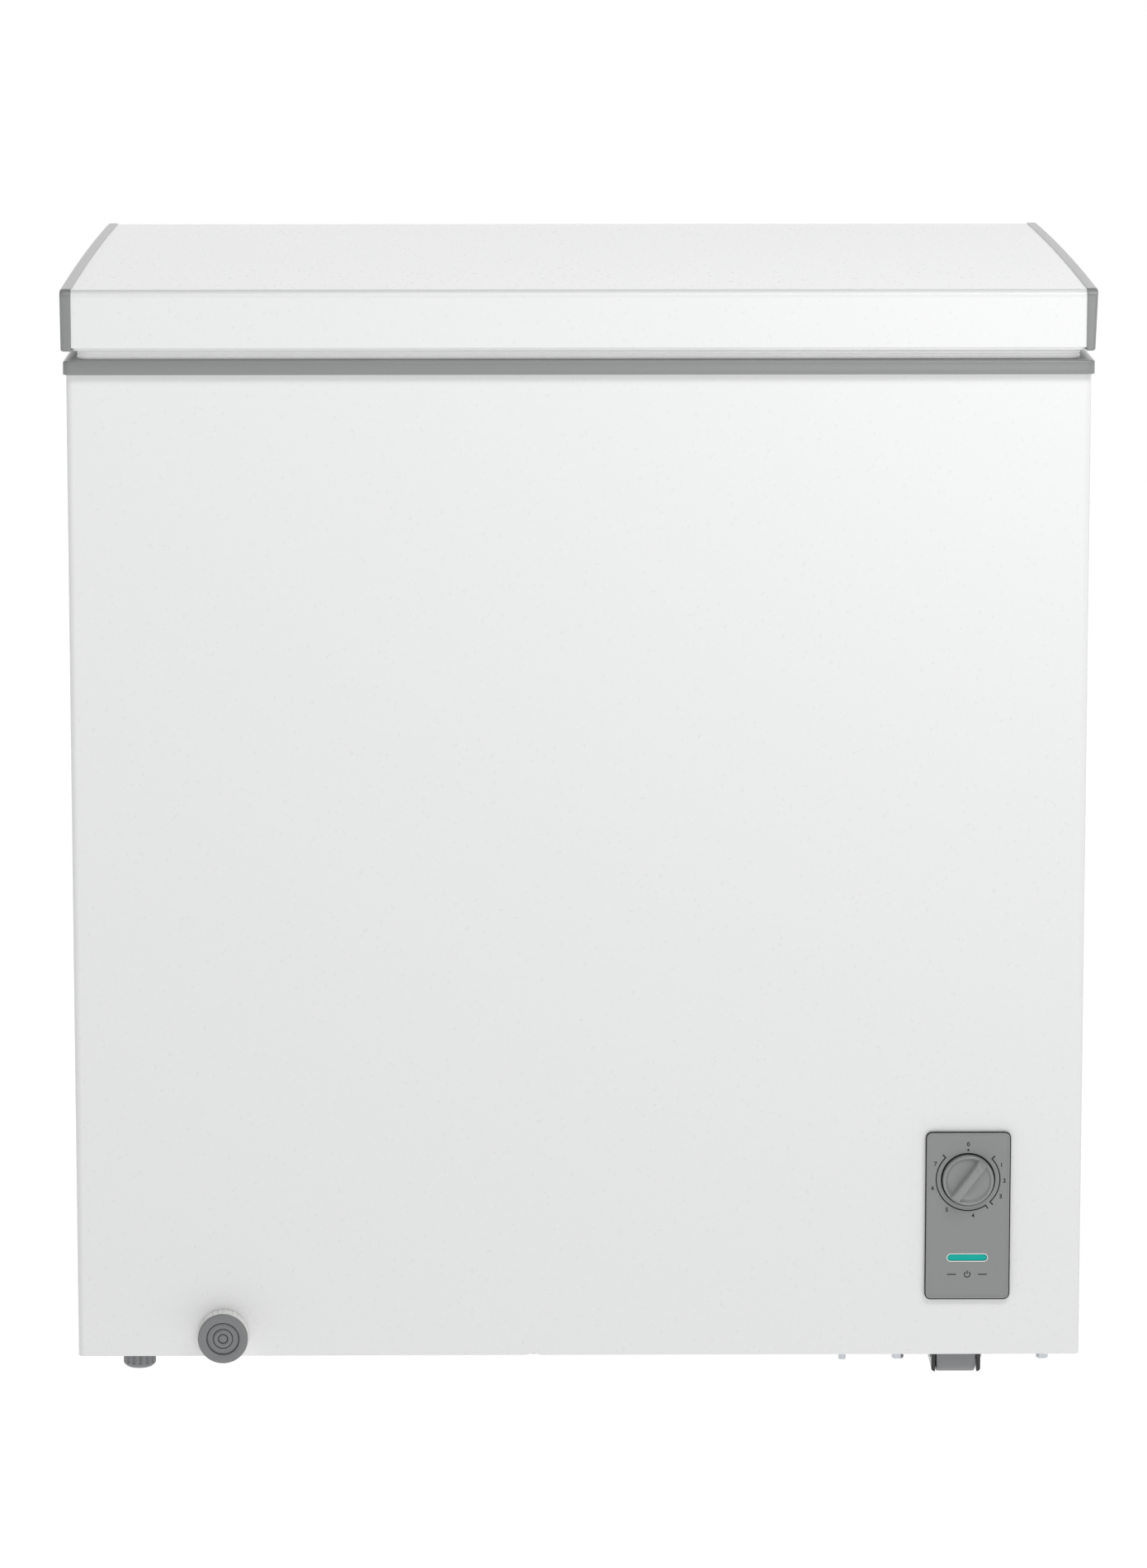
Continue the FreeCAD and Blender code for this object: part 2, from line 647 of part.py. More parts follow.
# ---------------------------------------------------------------- back fittings
def build_back():
    t = grille["t"]
    plate = column(grille["x0"], grille["x1"], panel_outer, panel_outer + t, grille["z0"], grille["z1"], 0.5)
    slots = []
    middle = (grille["x0"] + grille["x1"]) / 2
    rows = int((grille["z1"] - grille["z0"] - 36) // 13)
    for row in range(rows):
        z = grille["z0"] + 20 + row * 13
        for x0, x1 in ((grille["x0"] + 18, middle - 5), (middle + 5, grille["x1"] - 18)):
            slots.append(box(x0, x1, panel_outer - 1, panel_outer + t + 1, z, z + 5))
    for tool in slots + [screw_back(x, z, panel_outer + t)[1] for x, z in grille_screws]:
        plate = plate.cut(tool)
    add("rear_grille", plate)

    screws = [screw_back(x, z, panel_outer + t)[0] for x, z in grille_screws]
    screws += [screw_back(x, z, panel_outer + hinge_wall, 6.0)[0] for x, z in hinge_screws]
    add("back_screws", Part.makeCompound(screws))

    gland = fuse([
        rod(12.0, V(gland_x, panel_outer, gland_z), V(gland_x, panel_outer + 3, gland_z)),
        rod(8.0, V(gland_x, body_back - 16, gland_z), V(gland_x, panel_outer, gland_z)),
    ])
    gland = gland.cut(rod(4.2, V(gland_x, body_back - 15, gland_z), V(gland_x, panel_outer + 4, gland_z)))
    add("cord_inlet_gland", gland)


# ---------------------------------------------------------------- control panel
def stadium(length, tall, y0, y1, z, grow=0.0):
    radius = tall / 2 + grow
    reach = length / 2 - tall / 2
    bar = box(panel_x - reach, panel_x + reach, y0, y1, z - radius, z + radius)
    ends = [rod(radius, V(panel_x + side * reach, y0, z), V(panel_x + side * reach, y1, z))
            for side in (-1, 1)]
    return fuse([bar] + ends)


def build_panel():
    x0, x1 = panel_x - panel_width / 2, panel_x + panel_width / 2
    plate = box(x0, x1, panel_face, body_front, panel_z0, panel_z1)
    along_y = [e for e in plate.Edges if abs(e.Vertexes[0].Point.y - e.Vertexes[-1].Point.y) > 1]
    plate = plate.makeFillet(panel_corner, along_y)
    rim = [e for e in plate.Edges if all(abs(v.Point.y - panel_face) < 1e-6 for v in e.Vertexes)]
    plate = plate.makeChamfer(1.0, rim)
    skirt = box(x0 + 4.4, x1 - 4.4, body_front, body_front + panel_skirt, panel_z0 + 7.4, panel_z1 - 7.4)
    skirt = skirt.cut(box(x0 + 6.4, x1 - 6.4, body_front, body_front + panel_skirt + 1, panel_z0 + 9.4,
                          panel_z1 - 9.4))
    panel = plate.fuse(skirt)
    axis = V(panel_x, 0, knob_z)
    recess = rod(knob_radius + knob_recess_gap, V(axis.x, panel_face - 1, axis.z),
                 V(axis.x, panel_face + knob_recess_depth, axis.z))
    hole = rod(bushing_radius + 0.1, V(axis.x, panel_face - 1, axis.z), V(axis.x, body_front + 1, axis.z))
    slot = stadium(lamp_length, lamp_height, panel_face - 1, body_front + 1, lamp_z, 0.1)
    add("control_panel", panel.cut(recess).cut(hole).cut(slot).removeSplitter())

    add("power_light_lens", stadium(lamp_length, lamp_height, panel_face + 0.5, body_front + 1.5, lamp_z))
    add("lamp_holder",
        box(panel_x - 18, panel_x + 18, body_front + 1.5, thermostat_front + 6, lamp_z - 6, lamp_z + 6))

    bracket = box(panel_x - 27, panel_x + 27, thermostat_front, thermostat_front + 1.2, knob_z - 18,
                  knob_z + 18)
    body = box(panel_x - 17, panel_x + 17, thermostat_front + 1.2, thermostat_back, knob_z - 15, knob_z + 15)
    bushing = rod(bushing_radius, V(axis.x, panel_face + knob_recess_depth + 0.2, axis.z),
                  V(axis.x, thermostat_front, axis.z))
    body = fuse([bracket, body, bushing])
    bore = rod(shaft_radius + shaft_gap, V(axis.x, panel_face, axis.z),
               V(axis.x, thermostat_front + 12.5, axis.z))
    add("thermostat_body", body.cut(bore))

    knob_front = panel_face - knob_stand
    rim_front = panel_face - 5.0
    back = panel_face + knob_recess_depth - 0.5
    knob = rod(knob_radius, V(axis.x, back, axis.z), V(axis.x, rim_front, axis.z))
    front_edge = [e for e in knob.Edges if all(abs(v.Point.y - rim_front) < 1e-6 for v in e.Vertexes)]
    knob = knob.makeFillet(1.6, front_edge)
    knob = knob.cut(rod(knob_radius - 2.4, V(axis.x, rim_front - 1, axis.z),
                        V(axis.x, rim_front + 1.6, axis.z)))
    top, base = 3.0, 3.8
    profile = [V(-base, rim_front + 2, 0), V(base, rim_front + 2, 0), V(top, knob_front, 0),
               V(-top, knob_front, 0),
               V(-base, rim_front + 2, 0)]
    bar = Part.Face(Part.makePolygon(profile)).extrude(V(0, 0, 2 * knob_radius))
    bar.translate(V(0, 0, -knob_radius))
    bar = bar.common(rod(knob_radius - 0.4, V(0, knob_front, 0), V(0, rim_front + 2, 0)))
    bar.rotate(V(0, 0, 0), V(0, 1, 0), knob_rest_deg)
    bar.translate(V(axis.x, 0, axis.z))
    shaft_front = rim_front + 1.0
    socket = rod(shaft_radius, V(axis.x, shaft_front, axis.z), V(axis.x, back + 1, axis.z))
    relief = rod(bushing_radius + 0.6, V(axis.x, back - 0.7, axis.z), V(axis.x, back + 1, axis.z))
    add("thermostat_knob", knob.fuse(bar).cut(socket).cut(relief).removeSplitter())
    add("thermostat_shaft",
        rod(shaft_radius, V(axis.x, shaft_front, axis.z), V(axis.x, thermostat_front + 12, axis.z)))


# ---------------------------------------------------------------- drain
def build_drain():
    x, z = drain_x, drain_height
    flange_radius = dial_radius - dial_wall - 1.0
    flange_face = body_front - 3.0
    sleeve_radius = spout_radius + sleeve_wall
    sleeve_back = body_front + 62
    bore = spout_radius + spout_gap
    outlet = fuse([rod(flange_radius, V(x, flange_face, z), V(x, body_front, z)),
                   rod(sleeve_radius, V(x, body_front, z), V(x, sleeve_back, z))])
    outlet = outlet.cut(rod(bore, V(x, flange_face - 1, z), V(x, sleeve_back - 4, z)))
    outlet = outlet.cut(rod(5.0, V(x, sleeve_back - 5, z), V(x, sleeve_back + 1, z)))
    add("drain_outlet", outlet)

    funnel_bottom = z + 14
    pipe = tube([(x, sleeve_back, z), (x, drain_y, z), (x, drain_y, funnel_bottom)], 7.0, 12.0)
    hollow = tube([(x, sleeve_back - 1, z), (x, drain_y, z), (x, drain_y, funnel_bottom + 1)], 5.0, 12.0)
    cup = fuse([
        rod(10.8, V(x, drain_y, funnel_bottom), V(x, drain_y, tub_floor)),
        rod(15.0, V(x, drain_y, tub_floor), V(x, drain_y, tub_floor + 1.5)),
    ])
    pocket = rod(plug_radius + 0.1, V(x, drain_y, funnel_bottom + 3), V(x, drain_y, tub_floor + 3))
    through = rod(5.0, V(x, drain_y, funnel_bottom - 1), V(x, drain_y, tub_floor))
    add("drain_tube", pipe.cut(hollow).fuse(cup.cut(pocket).cut(through)).cut(through).removeSplitter())

    top = tub_floor + 1.9
    plug = fuse([
        rod(plug_radius, V(x, drain_y, tub_floor - 8), V(x, drain_y, top)),
        rod(13.0, V(x, drain_y, top), V(x, drain_y, top + 2.2)),
        box(x - 1.5, x + 1.5, drain_y - 8, drain_y + 8, top + 2.2, top + 12),
    ])
    add("drain_plug", plug.cut(rod(2.5, V(x - 3, drain_y, top + 7), V(x + 3, drain_y, top + 7))))

    spout_front = dial_face + 8.5
    spout_back = sleeve_back - drain_travel + 4
    spout = rod(spout_radius, V(x, spout_front, z), V(x, spout_back, z))
    spout = spout.cut(rod(spout_radius - spout_wall, V(x, spout_front - 1, z), V(x, spout_back + 1, z)))
    add("drain_spout", spout)

    back = body_front - 1.0
    dial = rod(dial_radius, V(x, dial_face, z), V(x, back, z))
    dial = dial.makeFillet(0.8,
                           [e for e in dial.Edges
                            if all(abs(v.Point.y - dial_face) < 1e-6 for v in e.Vertexes)])
    plate = dial_face + 6.0
    cavity = rod(dial_radius - dial_wall, V(x, plate, z), V(x, back + 1, z))
    hub = rod(spout_radius + 3, V(x, plate, z), V(x, flange_face - 0.7, z))
    dial = dial.cut(cavity.cut(hub)).cut(rod(bore, V(x, spout_front - 0.4, z), V(x, back + 1, z)))
    # stepped face: a shallow tray with a raised ring round a small dimple
    dial = dial.cut(rod(12.6, V(x, dial_face - 1, z), V(x, dial_face + 1.2, z)))
    ring = Part.makeTorus(5.6, 1.2, V(x, dial_face + 1.2, z), V(0, 1, 0))
    dial = dial.fuse(ring.common(rod(9, V(x, dial_face, z), V(x, dial_face + 2, z))))
    # grip flutes round the side, and the notch that lets water out when it is turned down
    for k in range(24):
        angle = math.radians(15 * k)
        px, pz = x + (dial_radius + 0.5) * math.cos(angle), z + (dial_radius + 0.5) * math.sin(angle)
        dial = dial.cut(rod(1.1, V(px, dial_face + 3.5, pz), V(px, back + 1, pz)))
    dial = dial.cut(box(x - 4, x + 4, plate, back + 1, z + 12, z + dial_radius + 1))
    add("drain_dial", dial.removeSplitter())


# ---------------------------------------------------------------- feet and rollers
def build_supports():
    sockets = []
    for name, y in zip(("front", "rear"), foot_ys):
        disc = rod(foot_radius, V(foot_x, y, 0), V(foot_x, y, foot_height))
        disc = disc.makeChamfer(3.0, level_edges(disc, 0))
        for k in range(14):
            angle = math.radians(360 / 14 * k)
            px, py = foot_x + (foot_radius + 1.6) * math.cos(angle), y + (foot_radius + 1.6) * math.sin(angle)
            disc = disc.cut(rod(2.4, V(px, py, 3.2), V(px, py, foot_height + 1)))
        stud = rod(stud_radius, V(foot_x, y, foot_height), V(foot_x, y, pan_top + socket_height - 3))
        add("levelling_foot_" + name, disc.fuse(stud))
        socket = rod(socket_radius, V(foot_x, y, pan_top), V(foot_x, y, pan_top + socket_height))
        nut_plate = box(foot_x - 15, foot_x + 15, y - 15, y + 15, pan_top, pan_top + 2)
        bore = rod(stud_radius + stud_gap, V(foot_x, y, pan_top - 1),
                   V(foot_x, y, pan_top + socket_height + 1))
        sockets.append(socket.fuse(nut_plate).cut(bore))
    add("foot_sockets", Part.makeCompound(sockets))

    brackets, axles = [], []
    inside = roller_width / 2 + roller_side_gap
    outside = inside + bracket_wall
    top = 2 * roller_radius + 3.4
    web = 1.6
    low = bracket_floor_gap
    for name, y in zip(("front", "rear"), roller_ys):
        def at(px, pz):
            return V(roller_x + px, y - bracket_half_length, pz)

        round_r = bracket_wall - 0.4
        left = [
            Part.LineSegment(at(-inside, low), at(-inside, top - web)),
            Part.LineSegment(at(-inside, top - web), at(inside, top - web)),
            Part.LineSegment(at(inside, top - web), at(inside, low)),
            Part.LineSegment(at(inside, low), at(outside - round_r, low)),
            Part.Arc(at(outside - round_r, low), at(outside - round_r * 0.293, low + round_r * 0.293),
                     at(outside, low + round_r)),
            Part.LineSegment(at(outside, low + round_r), at(outside, top)),
            Part.LineSegment(at(outside, top), at(-outside, top)),
            Part.LineSegment(at(-outside, top), at(-outside, low + round_r)),
            Part.Arc(at(-outside, low + round_r), at(-outside + round_r * 0.293, low + round_r * 0.293),
                     at(-outside + round_r, low)),
            Part.LineSegment(at(-outside + round_r, low), at(-inside, low)),
        ]
        channel = Part.Face(Part.Wire([s.toShape() for s in left])).extrude(V(0, 2 * bracket_half_length, 0))
        for side in (-1, 1):
            x0, x1 = sorted((roller_x + side * outside, roller_x + side * (outside + 8)))
            channel = channel.fuse(box(x0, x1, y - bracket_half_length, y + bracket_half_length,
                                       base_bottom - 1.5, base_bottom))
        axis = roller_radius
        channel = channel.cut(rod(axle_radius + 0.05, V(roller_x - outside - 1, y, axis),
                                  V(roller_x + outside + 1, y, axis)))
        for s in (-1, 1):
            channel = channel.cut(rod(axle_head + 0.6, V(roller_x + s * outside, y, axis),
                                      V(roller_x + s * (outside + 3), y, axis)))
        brackets.append(channel.removeSplitter())
        pin = rod(axle_radius, V(roller_x - outside - 0.2, y, axis), V(roller_x + outside + 0.2, y, axis))
        heads = [rod(axle_head, V(roller_x + s * (outside + 0.2), y, axis),
                     V(roller_x + s * (outside + 1.6), y, axis))
                 for s in (-1, 1)]
        axles.append(fuse([pin] + heads))
        reach = roller_width / 2
        wheel = rod(roller_radius, V(roller_x - reach, y, axis), V(roller_x + reach, y, axis))
        rims = [e for e in wheel.Edges if abs(e.Vertexes[0].Point.x - e.Vertexes[-1].Point.x) < 1e-6]
        wheel = wheel.makeChamfer(1.2, rims)
        add("roller_" + name, wheel.cut(rod(axle_radius + axle_gap, V(roller_x - reach - 1, y, axis),
                                            V(roller_x + reach + 1, y, axis))))
    add("roller_brackets", Part.makeCompound(brackets))
    add("roller_axles", Part.makeCompound(axles))


# ---------------------------------------------------------------- lid
def lid_outline(x, inset, bottom, front, back, top):
    """Closed outline of the lid's section at x, set in from the given outer sizes."""
    y0, y1 = front + inset, back - inset
    crest = top - inset
    edge = crest - lid_crown
    r = max(lid_edge_radius - inset, 1.0)
    k = r * (1 - math.sqrt(0.5))
    return Part.Face(Part.Wire([s.toShape() for s in (
        Part.LineSegment(V(x, y0, bottom), V(x, y0, edge - r)),
        Part.Arc(V(x, y0, edge - r), V(x, y0 + k, edge - k), V(x, y0 + r, edge)),
        Part.Arc(V(x, y0 + r, edge), V(x, (y0 + y1) / 2, crest), V(x, y1 - r, edge)),
        Part.Arc(V(x, y1 - r, edge), V(x, y1 - k, edge - k), V(x, y1, edge - r)),
        Part.LineSegment(V(x, y1, edge - r), V(x, y1, bottom)),
        Part.LineSegment(V(x, y1, bottom), V(x, y0, bottom)),
    )]))


def lid_block(x0, x1, inset, bottom, proud=0.0):
    face = lid_outline(x0, inset, bottom, lid_front - proud, lid_back + proud, lid_top + proud)
    return face.extrude(V(x1 - x0, 0, 0))


def build_lid():
    leaf_cuts = [screw_back(x, z, lid_back, 10.0)[1] for x, z in leaf_screws]
    skin = lid_block(-lid_half, lid_half, 0,
                     lid_bottom).cut(lid_block(-lid_half - 1, lid_half + 1, sheet, lid_bottom - 1))
    for y0, y1 in ((lid_front, lid_front + wrap_flange), (lid_back - wrap_flange, lid_back)):
        skin = skin.fuse(box(-lid_half, lid_half, y0 + 0.1, y1 - 0.1, lid_bottom, lid_bottom + sheet))
    for tool in leaf_cuts:
        skin = skin.cut(tool)
    add("lid_outer_panel", skin.removeSplitter())

    cap = lid_block(lid_half, half, 0, lid_bottom - cap_drop, cap_proud)
    rim = [e for e in cap.Edges if all(abs(v.Point.x - half) < 1e-6 for v in e.Vertexes)]
    cap = cap.makeFillet(2.4, rim)
    cap = cap.cut(lid_block(lid_half - 1, half - cap_wall, cap_wall, lid_bottom - cap_drop + cap_wall,
                            cap_proud))
    add("lid_end_cap_right", cap)
    add("lid_end_cap_left", mirror_x(cap))

    edge = 1.2
    tray_half, tray_front, tray_back = lid_half - 0.2, lid_front + edge, lid_back - edge
    flange = column(-tray_half, tray_half, tray_front, tray_back, tray_face, lid_bottom, 4.0)
    inner_half_x = tub_half + ledge_width - 4
    inner_y0, inner_y1 = tub_front - ledge_width + 4, tub_back + ledge_width - 4
    dish = column(-inner_half_x, inner_half_x, inner_y0, inner_y1, lid_inner_face, tray_face, tub_corner)
    dish = dish.makeFillet(4.0, level_edges(dish, lid_inner_face))
    room = column(-inner_half_x + lid_tray_wall, inner_half_x - lid_tray_wall, inner_y0 + lid_tray_wall,
                  inner_y1 - lid_tray_wall, lid_inner_face + lid_tray_wall, lid_bottom + 1,
                  tub_corner - lid_tray_wall)
    add("lid_liner", flange.fuse(dish).cut(room).removeSplitter())

    foam = lid_block(-lid_half, lid_half, sheet, lid_bottom + sheet)
    gap = lid_tray_wall + 0.1
    foam = foam.fuse(column(-inner_half_x + gap, inner_half_x - gap, inner_y0 + gap, inner_y1 - gap,
                            lid_inner_face + lid_tray_wall, lid_bottom + sheet, tub_corner - lid_tray_wall))
    for tool in leaf_cuts:
        foam = foam.cut(tool)
    add("lid_foam", foam.removeSplitter())

    x1 = body_half + collar_side - gasket_inset
    y0, y1 = body_front - collar_front + gasket_inset, body_back - 12.0
    z0, z1 = collar_top + seal_gap, tray_face
    gasket = ring_band(-x1, x1, y0, y1, z0, z1, gasket_corner, gasket_width)
    rim = (gasket_width - magnet_width) / 2
    mz0, mz1 = z0 + 1.5, z0 + 1.5 + magnet_height
    pocket = ring_band(-x1 + rim, x1 - rim, y0 + rim, y1 - rim, mz0, mz1, gasket_corner - rim, magnet_width)
    add("lid_gasket", gasket.cut(pocket))
    gap = 0.15
    add("gasket_magnets", ring_band(-x1 + rim + gap, x1 - rim - gap, y0 + rim + gap, y1 - rim - gap,
                                    mz0 + gap, mz1 - gap, gasket_corner - rim - gap, magnet_width - 2 * gap))


# ---------------------------------------------------------------- hinges
def cam_lobe(x0, x1):
    """Spiral lobe under the pivot whose radius falls evenly as the lid turns."""
    sweep = math.radians(lid_opening_deg)
    steps = 16
    curve = []
    for k in range(steps + 1):
        angle = sweep * 1.12 * k / steps
        radius = cam_rest_radius - (cam_rest_radius - cam_open_radius) * angle / sweep
        curve.append(V(x0, pivot_y + radius * math.sin(angle), pivot_z - radius * math.cos(angle)))
    spiral = Part.BSplineCurve()
    spiral.interpolate(curve)
    nose = V(x0, pivot_y - 2.0, pivot_z - cam_rest_radius + 2.2)
    centre = V(x0, pivot_y, pivot_z)
    outline = Part.Wire([spiral.toShape(), Part.LineSegment(curve[-1], centre).toShape(),
                         Part.LineSegment(centre, nose).toShape(),
                         Part.LineSegment(nose, curve[0]).toShape()])
    return Part.Face(outline).extrude(V(x1 - x0, 0, 0))


def build_hinge(side, name):
    x = side * hinge_x
    inner = hinge_width / 2
    outer = inner + hinge_wall
    back = depth / 2
    front = panel_outer
    # channel that stands on the back panel, with a closed floor and feet for its screws
    walls = []
    for s in (-1, 1):
        x0, x1 = sorted((x + s * inner, x + s * outer))
        walls.append(box(x0, x1, front, back, hinge_bottom, hinge_top))
        f0, f1 = sorted((x + s * outer, x + s * (outer + hinge_foot)))
        walls.append(box(f0, f1, front, front + hinge_wall, hinge_bottom, hinge_top - 10))
        e0 = pivot_y - boss_radius
        walls.append(box(x0, x1, e0, pivot_y + boss_radius, hinge_top - 1, pivot_z))
        walls.append(rod(boss_radius, V(x0, pivot_y, pivot_z), V(x1, pivot_y, pivot_z)))
    walls.append(box(x - outer, x + outer, back - hinge_wall, back, hinge_bottom, hinge_top))
    walls.append(box(x - outer, x + outer, front, back, hinge_bottom, hinge_bottom + hinge_wall))
    nose_top = pivot_z - cam_rest_radius - plunger_gap
    guide_top = nose_top - (cam_rest_radius - cam_open_radius) - 4
    guide = box(x - inner, x + inner, front, back - hinge_wall, guide_top - 10, guide_top)
    reach = plunger_width / 2 + 0.15
    guide = guide.cut(box(x - reach, x + reach, pivot_y - reach, pivot_y + reach, guide_top - 11,
                          guide_top + 1))
    housing = fuse(walls + [guide])
    housing = housing.cut(box(x - outer - 1, x + outer + 1, front - 1, body_back + 0.2, collar_bottom - 1,
                              pivot_z + 10))
    housing = housing.cut(rod(hinge_pin_radius, V(x - outer - 1, pivot_y, pivot_z),
                              V(x + outer + 1, pivot_y, pivot_z)))
    for sx, sz in hinge_screws:
        housing = housing.cut(screw_back(sx, sz, front + hinge_wall)[1])
    add("hinge_housing_" + name, housing)

    boss = rod(boss_radius, V(x - leaf_width / 2, pivot_y, pivot_z), V(x + leaf_width / 2, pivot_y, pivot_z))
    leaf_front = lid_back
    leaf = box(x - leaf_width / 2, x + leaf_width / 2, leaf_front, leaf_front + leaf_thickness, pivot_z,
               lid_bottom + leaf_height)
    lobe = cam_lobe(x - cam_width / 2, x + cam_width / 2)
    arm = fuse([boss, leaf, lobe])
    arm = arm.cut(rod(hinge_pin_radius + hinge_running_gap, V(x - inner, pivot_y, pivot_z),
                      V(x + inner, pivot_y, pivot_z)))
    for sx, sz in leaf_screws:
        arm = arm.cut(screw_back(sx, sz, leaf_front + leaf_thickness)[1])
    add("hinge_arm_" + name, arm)

    tip = rod(plunger_nose, V(x - plunger_width / 2, pivot_y, nose_top - plunger_nose),
              V(x + plunger_width / 2, pivot_y, nose_top - plunger_nose))
    half_w = plunger_width / 2
    bottom = nose_top - plunger_length
    shoulder = nose_top - 3 * plunger_nose
    stem = box(x - half_w, x + half_w, pivot_y - half_w, pivot_y + half_w, bottom, shoulder)
    wedge = Part.Face(Part.makePolygon([
        V(x - half_w, pivot_y - half_w, shoulder), V(x - half_w, pivot_y + half_w, shoulder),
        V(x - half_w, pivot_y + plunger_nose, nose_top - plunger_nose),
        V(x - half_w, pivot_y - plunger_nose, nose_top - plunger_nose),
        V(x - half_w, pivot_y - half_w, shoulder),
    ])).extrude(V(plunger_width, 0, 0))
    add("hinge_plunger_" + name, fuse([tip, stem, wedge]))

    floor = hinge_bottom + hinge_wall
    length = bottom - floor - 2 * spring_wire / 2
    helix = Part.makeHelix(length / spring_turns, length, spring_radius)
    ring = Part.Wire([Part.Circle(V(spring_radius, 0, 0), V(0, 1, 0), spring_wire / 2).toShape()])
    spring = Part.Wire(helix.Edges).makePipeShell([ring], True, True)
    spring.translate(V(x, pivot_y, floor + spring_wire / 2))
    add("hinge_spring_" + name, spring)


def build_hinges():
    pins = []
    outer = hinge_width / 2 + hinge_wall
    for side, name in ((-1, "left"), (1, "right")):
        build_hinge(side, name)
        x = side * hinge_x
        pin = rod(hinge_pin_radius, V(x - outer, pivot_y, pivot_z), V(x + outer, pivot_y, pivot_z))
        heads = [rod(4.4, V(x + s * outer, pivot_y, pivot_z), V(x + s * (outer + 1.4), pivot_y, pivot_z))
                 for s in (-1, 1)]
        pins.append(fuse([pin] + heads))
    add("hinge_pins", Part.makeCompound(pins))
    screws = [screw_back(x, z, lid_back + leaf_thickness, 10.0)[0] for x, z in leaf_screws]
    add("hinge_arm_screws", Part.makeCompound(screws))


# ---------------------------------------------------------------- basket
def build_basket():
    x1 = tub_half - basket_clearance
    x0 = x1 - basket_width
    y0, y1 = tub_front + basket_clearance, tub_back - basket_clearance
    top = ledge_top + 0.4 + rail_thickness
    bottom = top - basket_depth_down
    outer = column(x0, x1, y0, y1, bottom, top, tub_corner - basket_clearance)
    room = column(x0 + basket_wall, x1 - basket_wall, y0 + basket_wall, y1 - basket_wall,
                  bottom + basket_wall, top + 1,
                  tub_corner - basket_clearance - basket_wall)
    reach = ledge_width - 2.5
    rails = [box(x0 + 22, x1 - 22, ya, yb, top - rail_thickness, top)
             for ya, yb in ((tub_front - reach, y0 + 3), (y1 - 3, tub_back + reach))]
    add("wire_basket", fuse([outer] + rails).cut(room))


build_shell()
build_tub()
build_refrigeration()
build_back()
build_panel()
build_drain()
build_supports()
build_lid()
build_hinges()
build_basket()

os.makedirs("parts", exist_ok=True)
for name, shape in nodes.items():
    shape.exportStep("parts/" + name + ".step")
print(len(nodes), "nodes")
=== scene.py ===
"""Chest freezer: the look of each piece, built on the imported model. Metres, +Z up, front towards -Y."""

import math

import bmesh
import bpy
from mathutils import Matrix, Vector


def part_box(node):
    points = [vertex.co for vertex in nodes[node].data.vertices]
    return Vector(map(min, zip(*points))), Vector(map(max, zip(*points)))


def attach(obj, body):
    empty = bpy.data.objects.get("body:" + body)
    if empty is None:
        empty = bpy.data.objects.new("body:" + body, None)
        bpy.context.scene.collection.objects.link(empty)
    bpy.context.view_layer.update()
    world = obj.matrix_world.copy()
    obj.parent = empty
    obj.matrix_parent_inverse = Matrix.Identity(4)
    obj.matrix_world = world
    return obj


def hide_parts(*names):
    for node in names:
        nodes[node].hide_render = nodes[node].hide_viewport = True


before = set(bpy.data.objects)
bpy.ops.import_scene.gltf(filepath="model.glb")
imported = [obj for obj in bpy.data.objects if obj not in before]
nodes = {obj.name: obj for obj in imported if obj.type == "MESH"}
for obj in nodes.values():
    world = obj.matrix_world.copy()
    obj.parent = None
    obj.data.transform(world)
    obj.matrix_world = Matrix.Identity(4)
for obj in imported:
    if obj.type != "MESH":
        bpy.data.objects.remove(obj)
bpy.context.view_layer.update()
MM = 0.001


# ---------------------------------------------------------------- studio
# A white floor that glows a little and a pale surround leave the freezer on plain white. Three
# soft lamps stand in front, low right, high right and above, and a wide one lights the back.
def srgb(code):
    """Hex colour to linear RGBA."""
    parts = [int(code[i:i + 2], 16) / 255 for i in (1, 3, 5)]
    return tuple(p / 12.92 if p <= 0.04045 else ((p + 0.055) / 1.055) ** 2.4 for p in parts) + (1.0,)


def put(tree, kind, sockets=None, **settings):
    """Adds a node; a socket takes a number or colour, or another node's output to link."""
    added = tree.nodes.new(kind)
    for key, value in settings.items():
        setattr(added, key, value)
    for key, value in (sockets or {}).items():
        if isinstance(value, bpy.types.NodeSocket):
            tree.links.new(value, added.inputs[key])
        else:
            added.inputs[key].default_value = value
    return added


def finish_named(name):
    """A new material with its node tree and its shader."""
    material = bpy.data.materials.new(name)
    material.use_nodes = True
    return material, material.node_tree, material.node_tree.nodes["Principled BSDF"]


bpy.context.scene.view_settings.view_transform = "Standard"

floor_half = 40.0
floor_corners = [(-1, -1), (1, -1), (1, 1), (-1, 1)]
floor_mesh = bpy.data.meshes.new("studio_floor")
floor_mesh.from_pydata([(x * floor_half, y * floor_half, 0) for x, y in floor_corners], [], [(0, 1, 2, 3)])
studio_floor = bpy.data.objects.new("studio_floor", floor_mesh)
bpy.context.scene.collection.objects.link(studio_floor)
paper, tree, shader = finish_named("background_paper_white")
shader.inputs["Base Color"].default_value = srgb("#303030")
shader.inputs["Roughness"].default_value = 0.95
shader.inputs["Emission Color"].default_value = (1, 1, 1, 1)
shader.inputs["Emission Strength"].default_value = 0.99
floor_mesh.materials.append(paper)

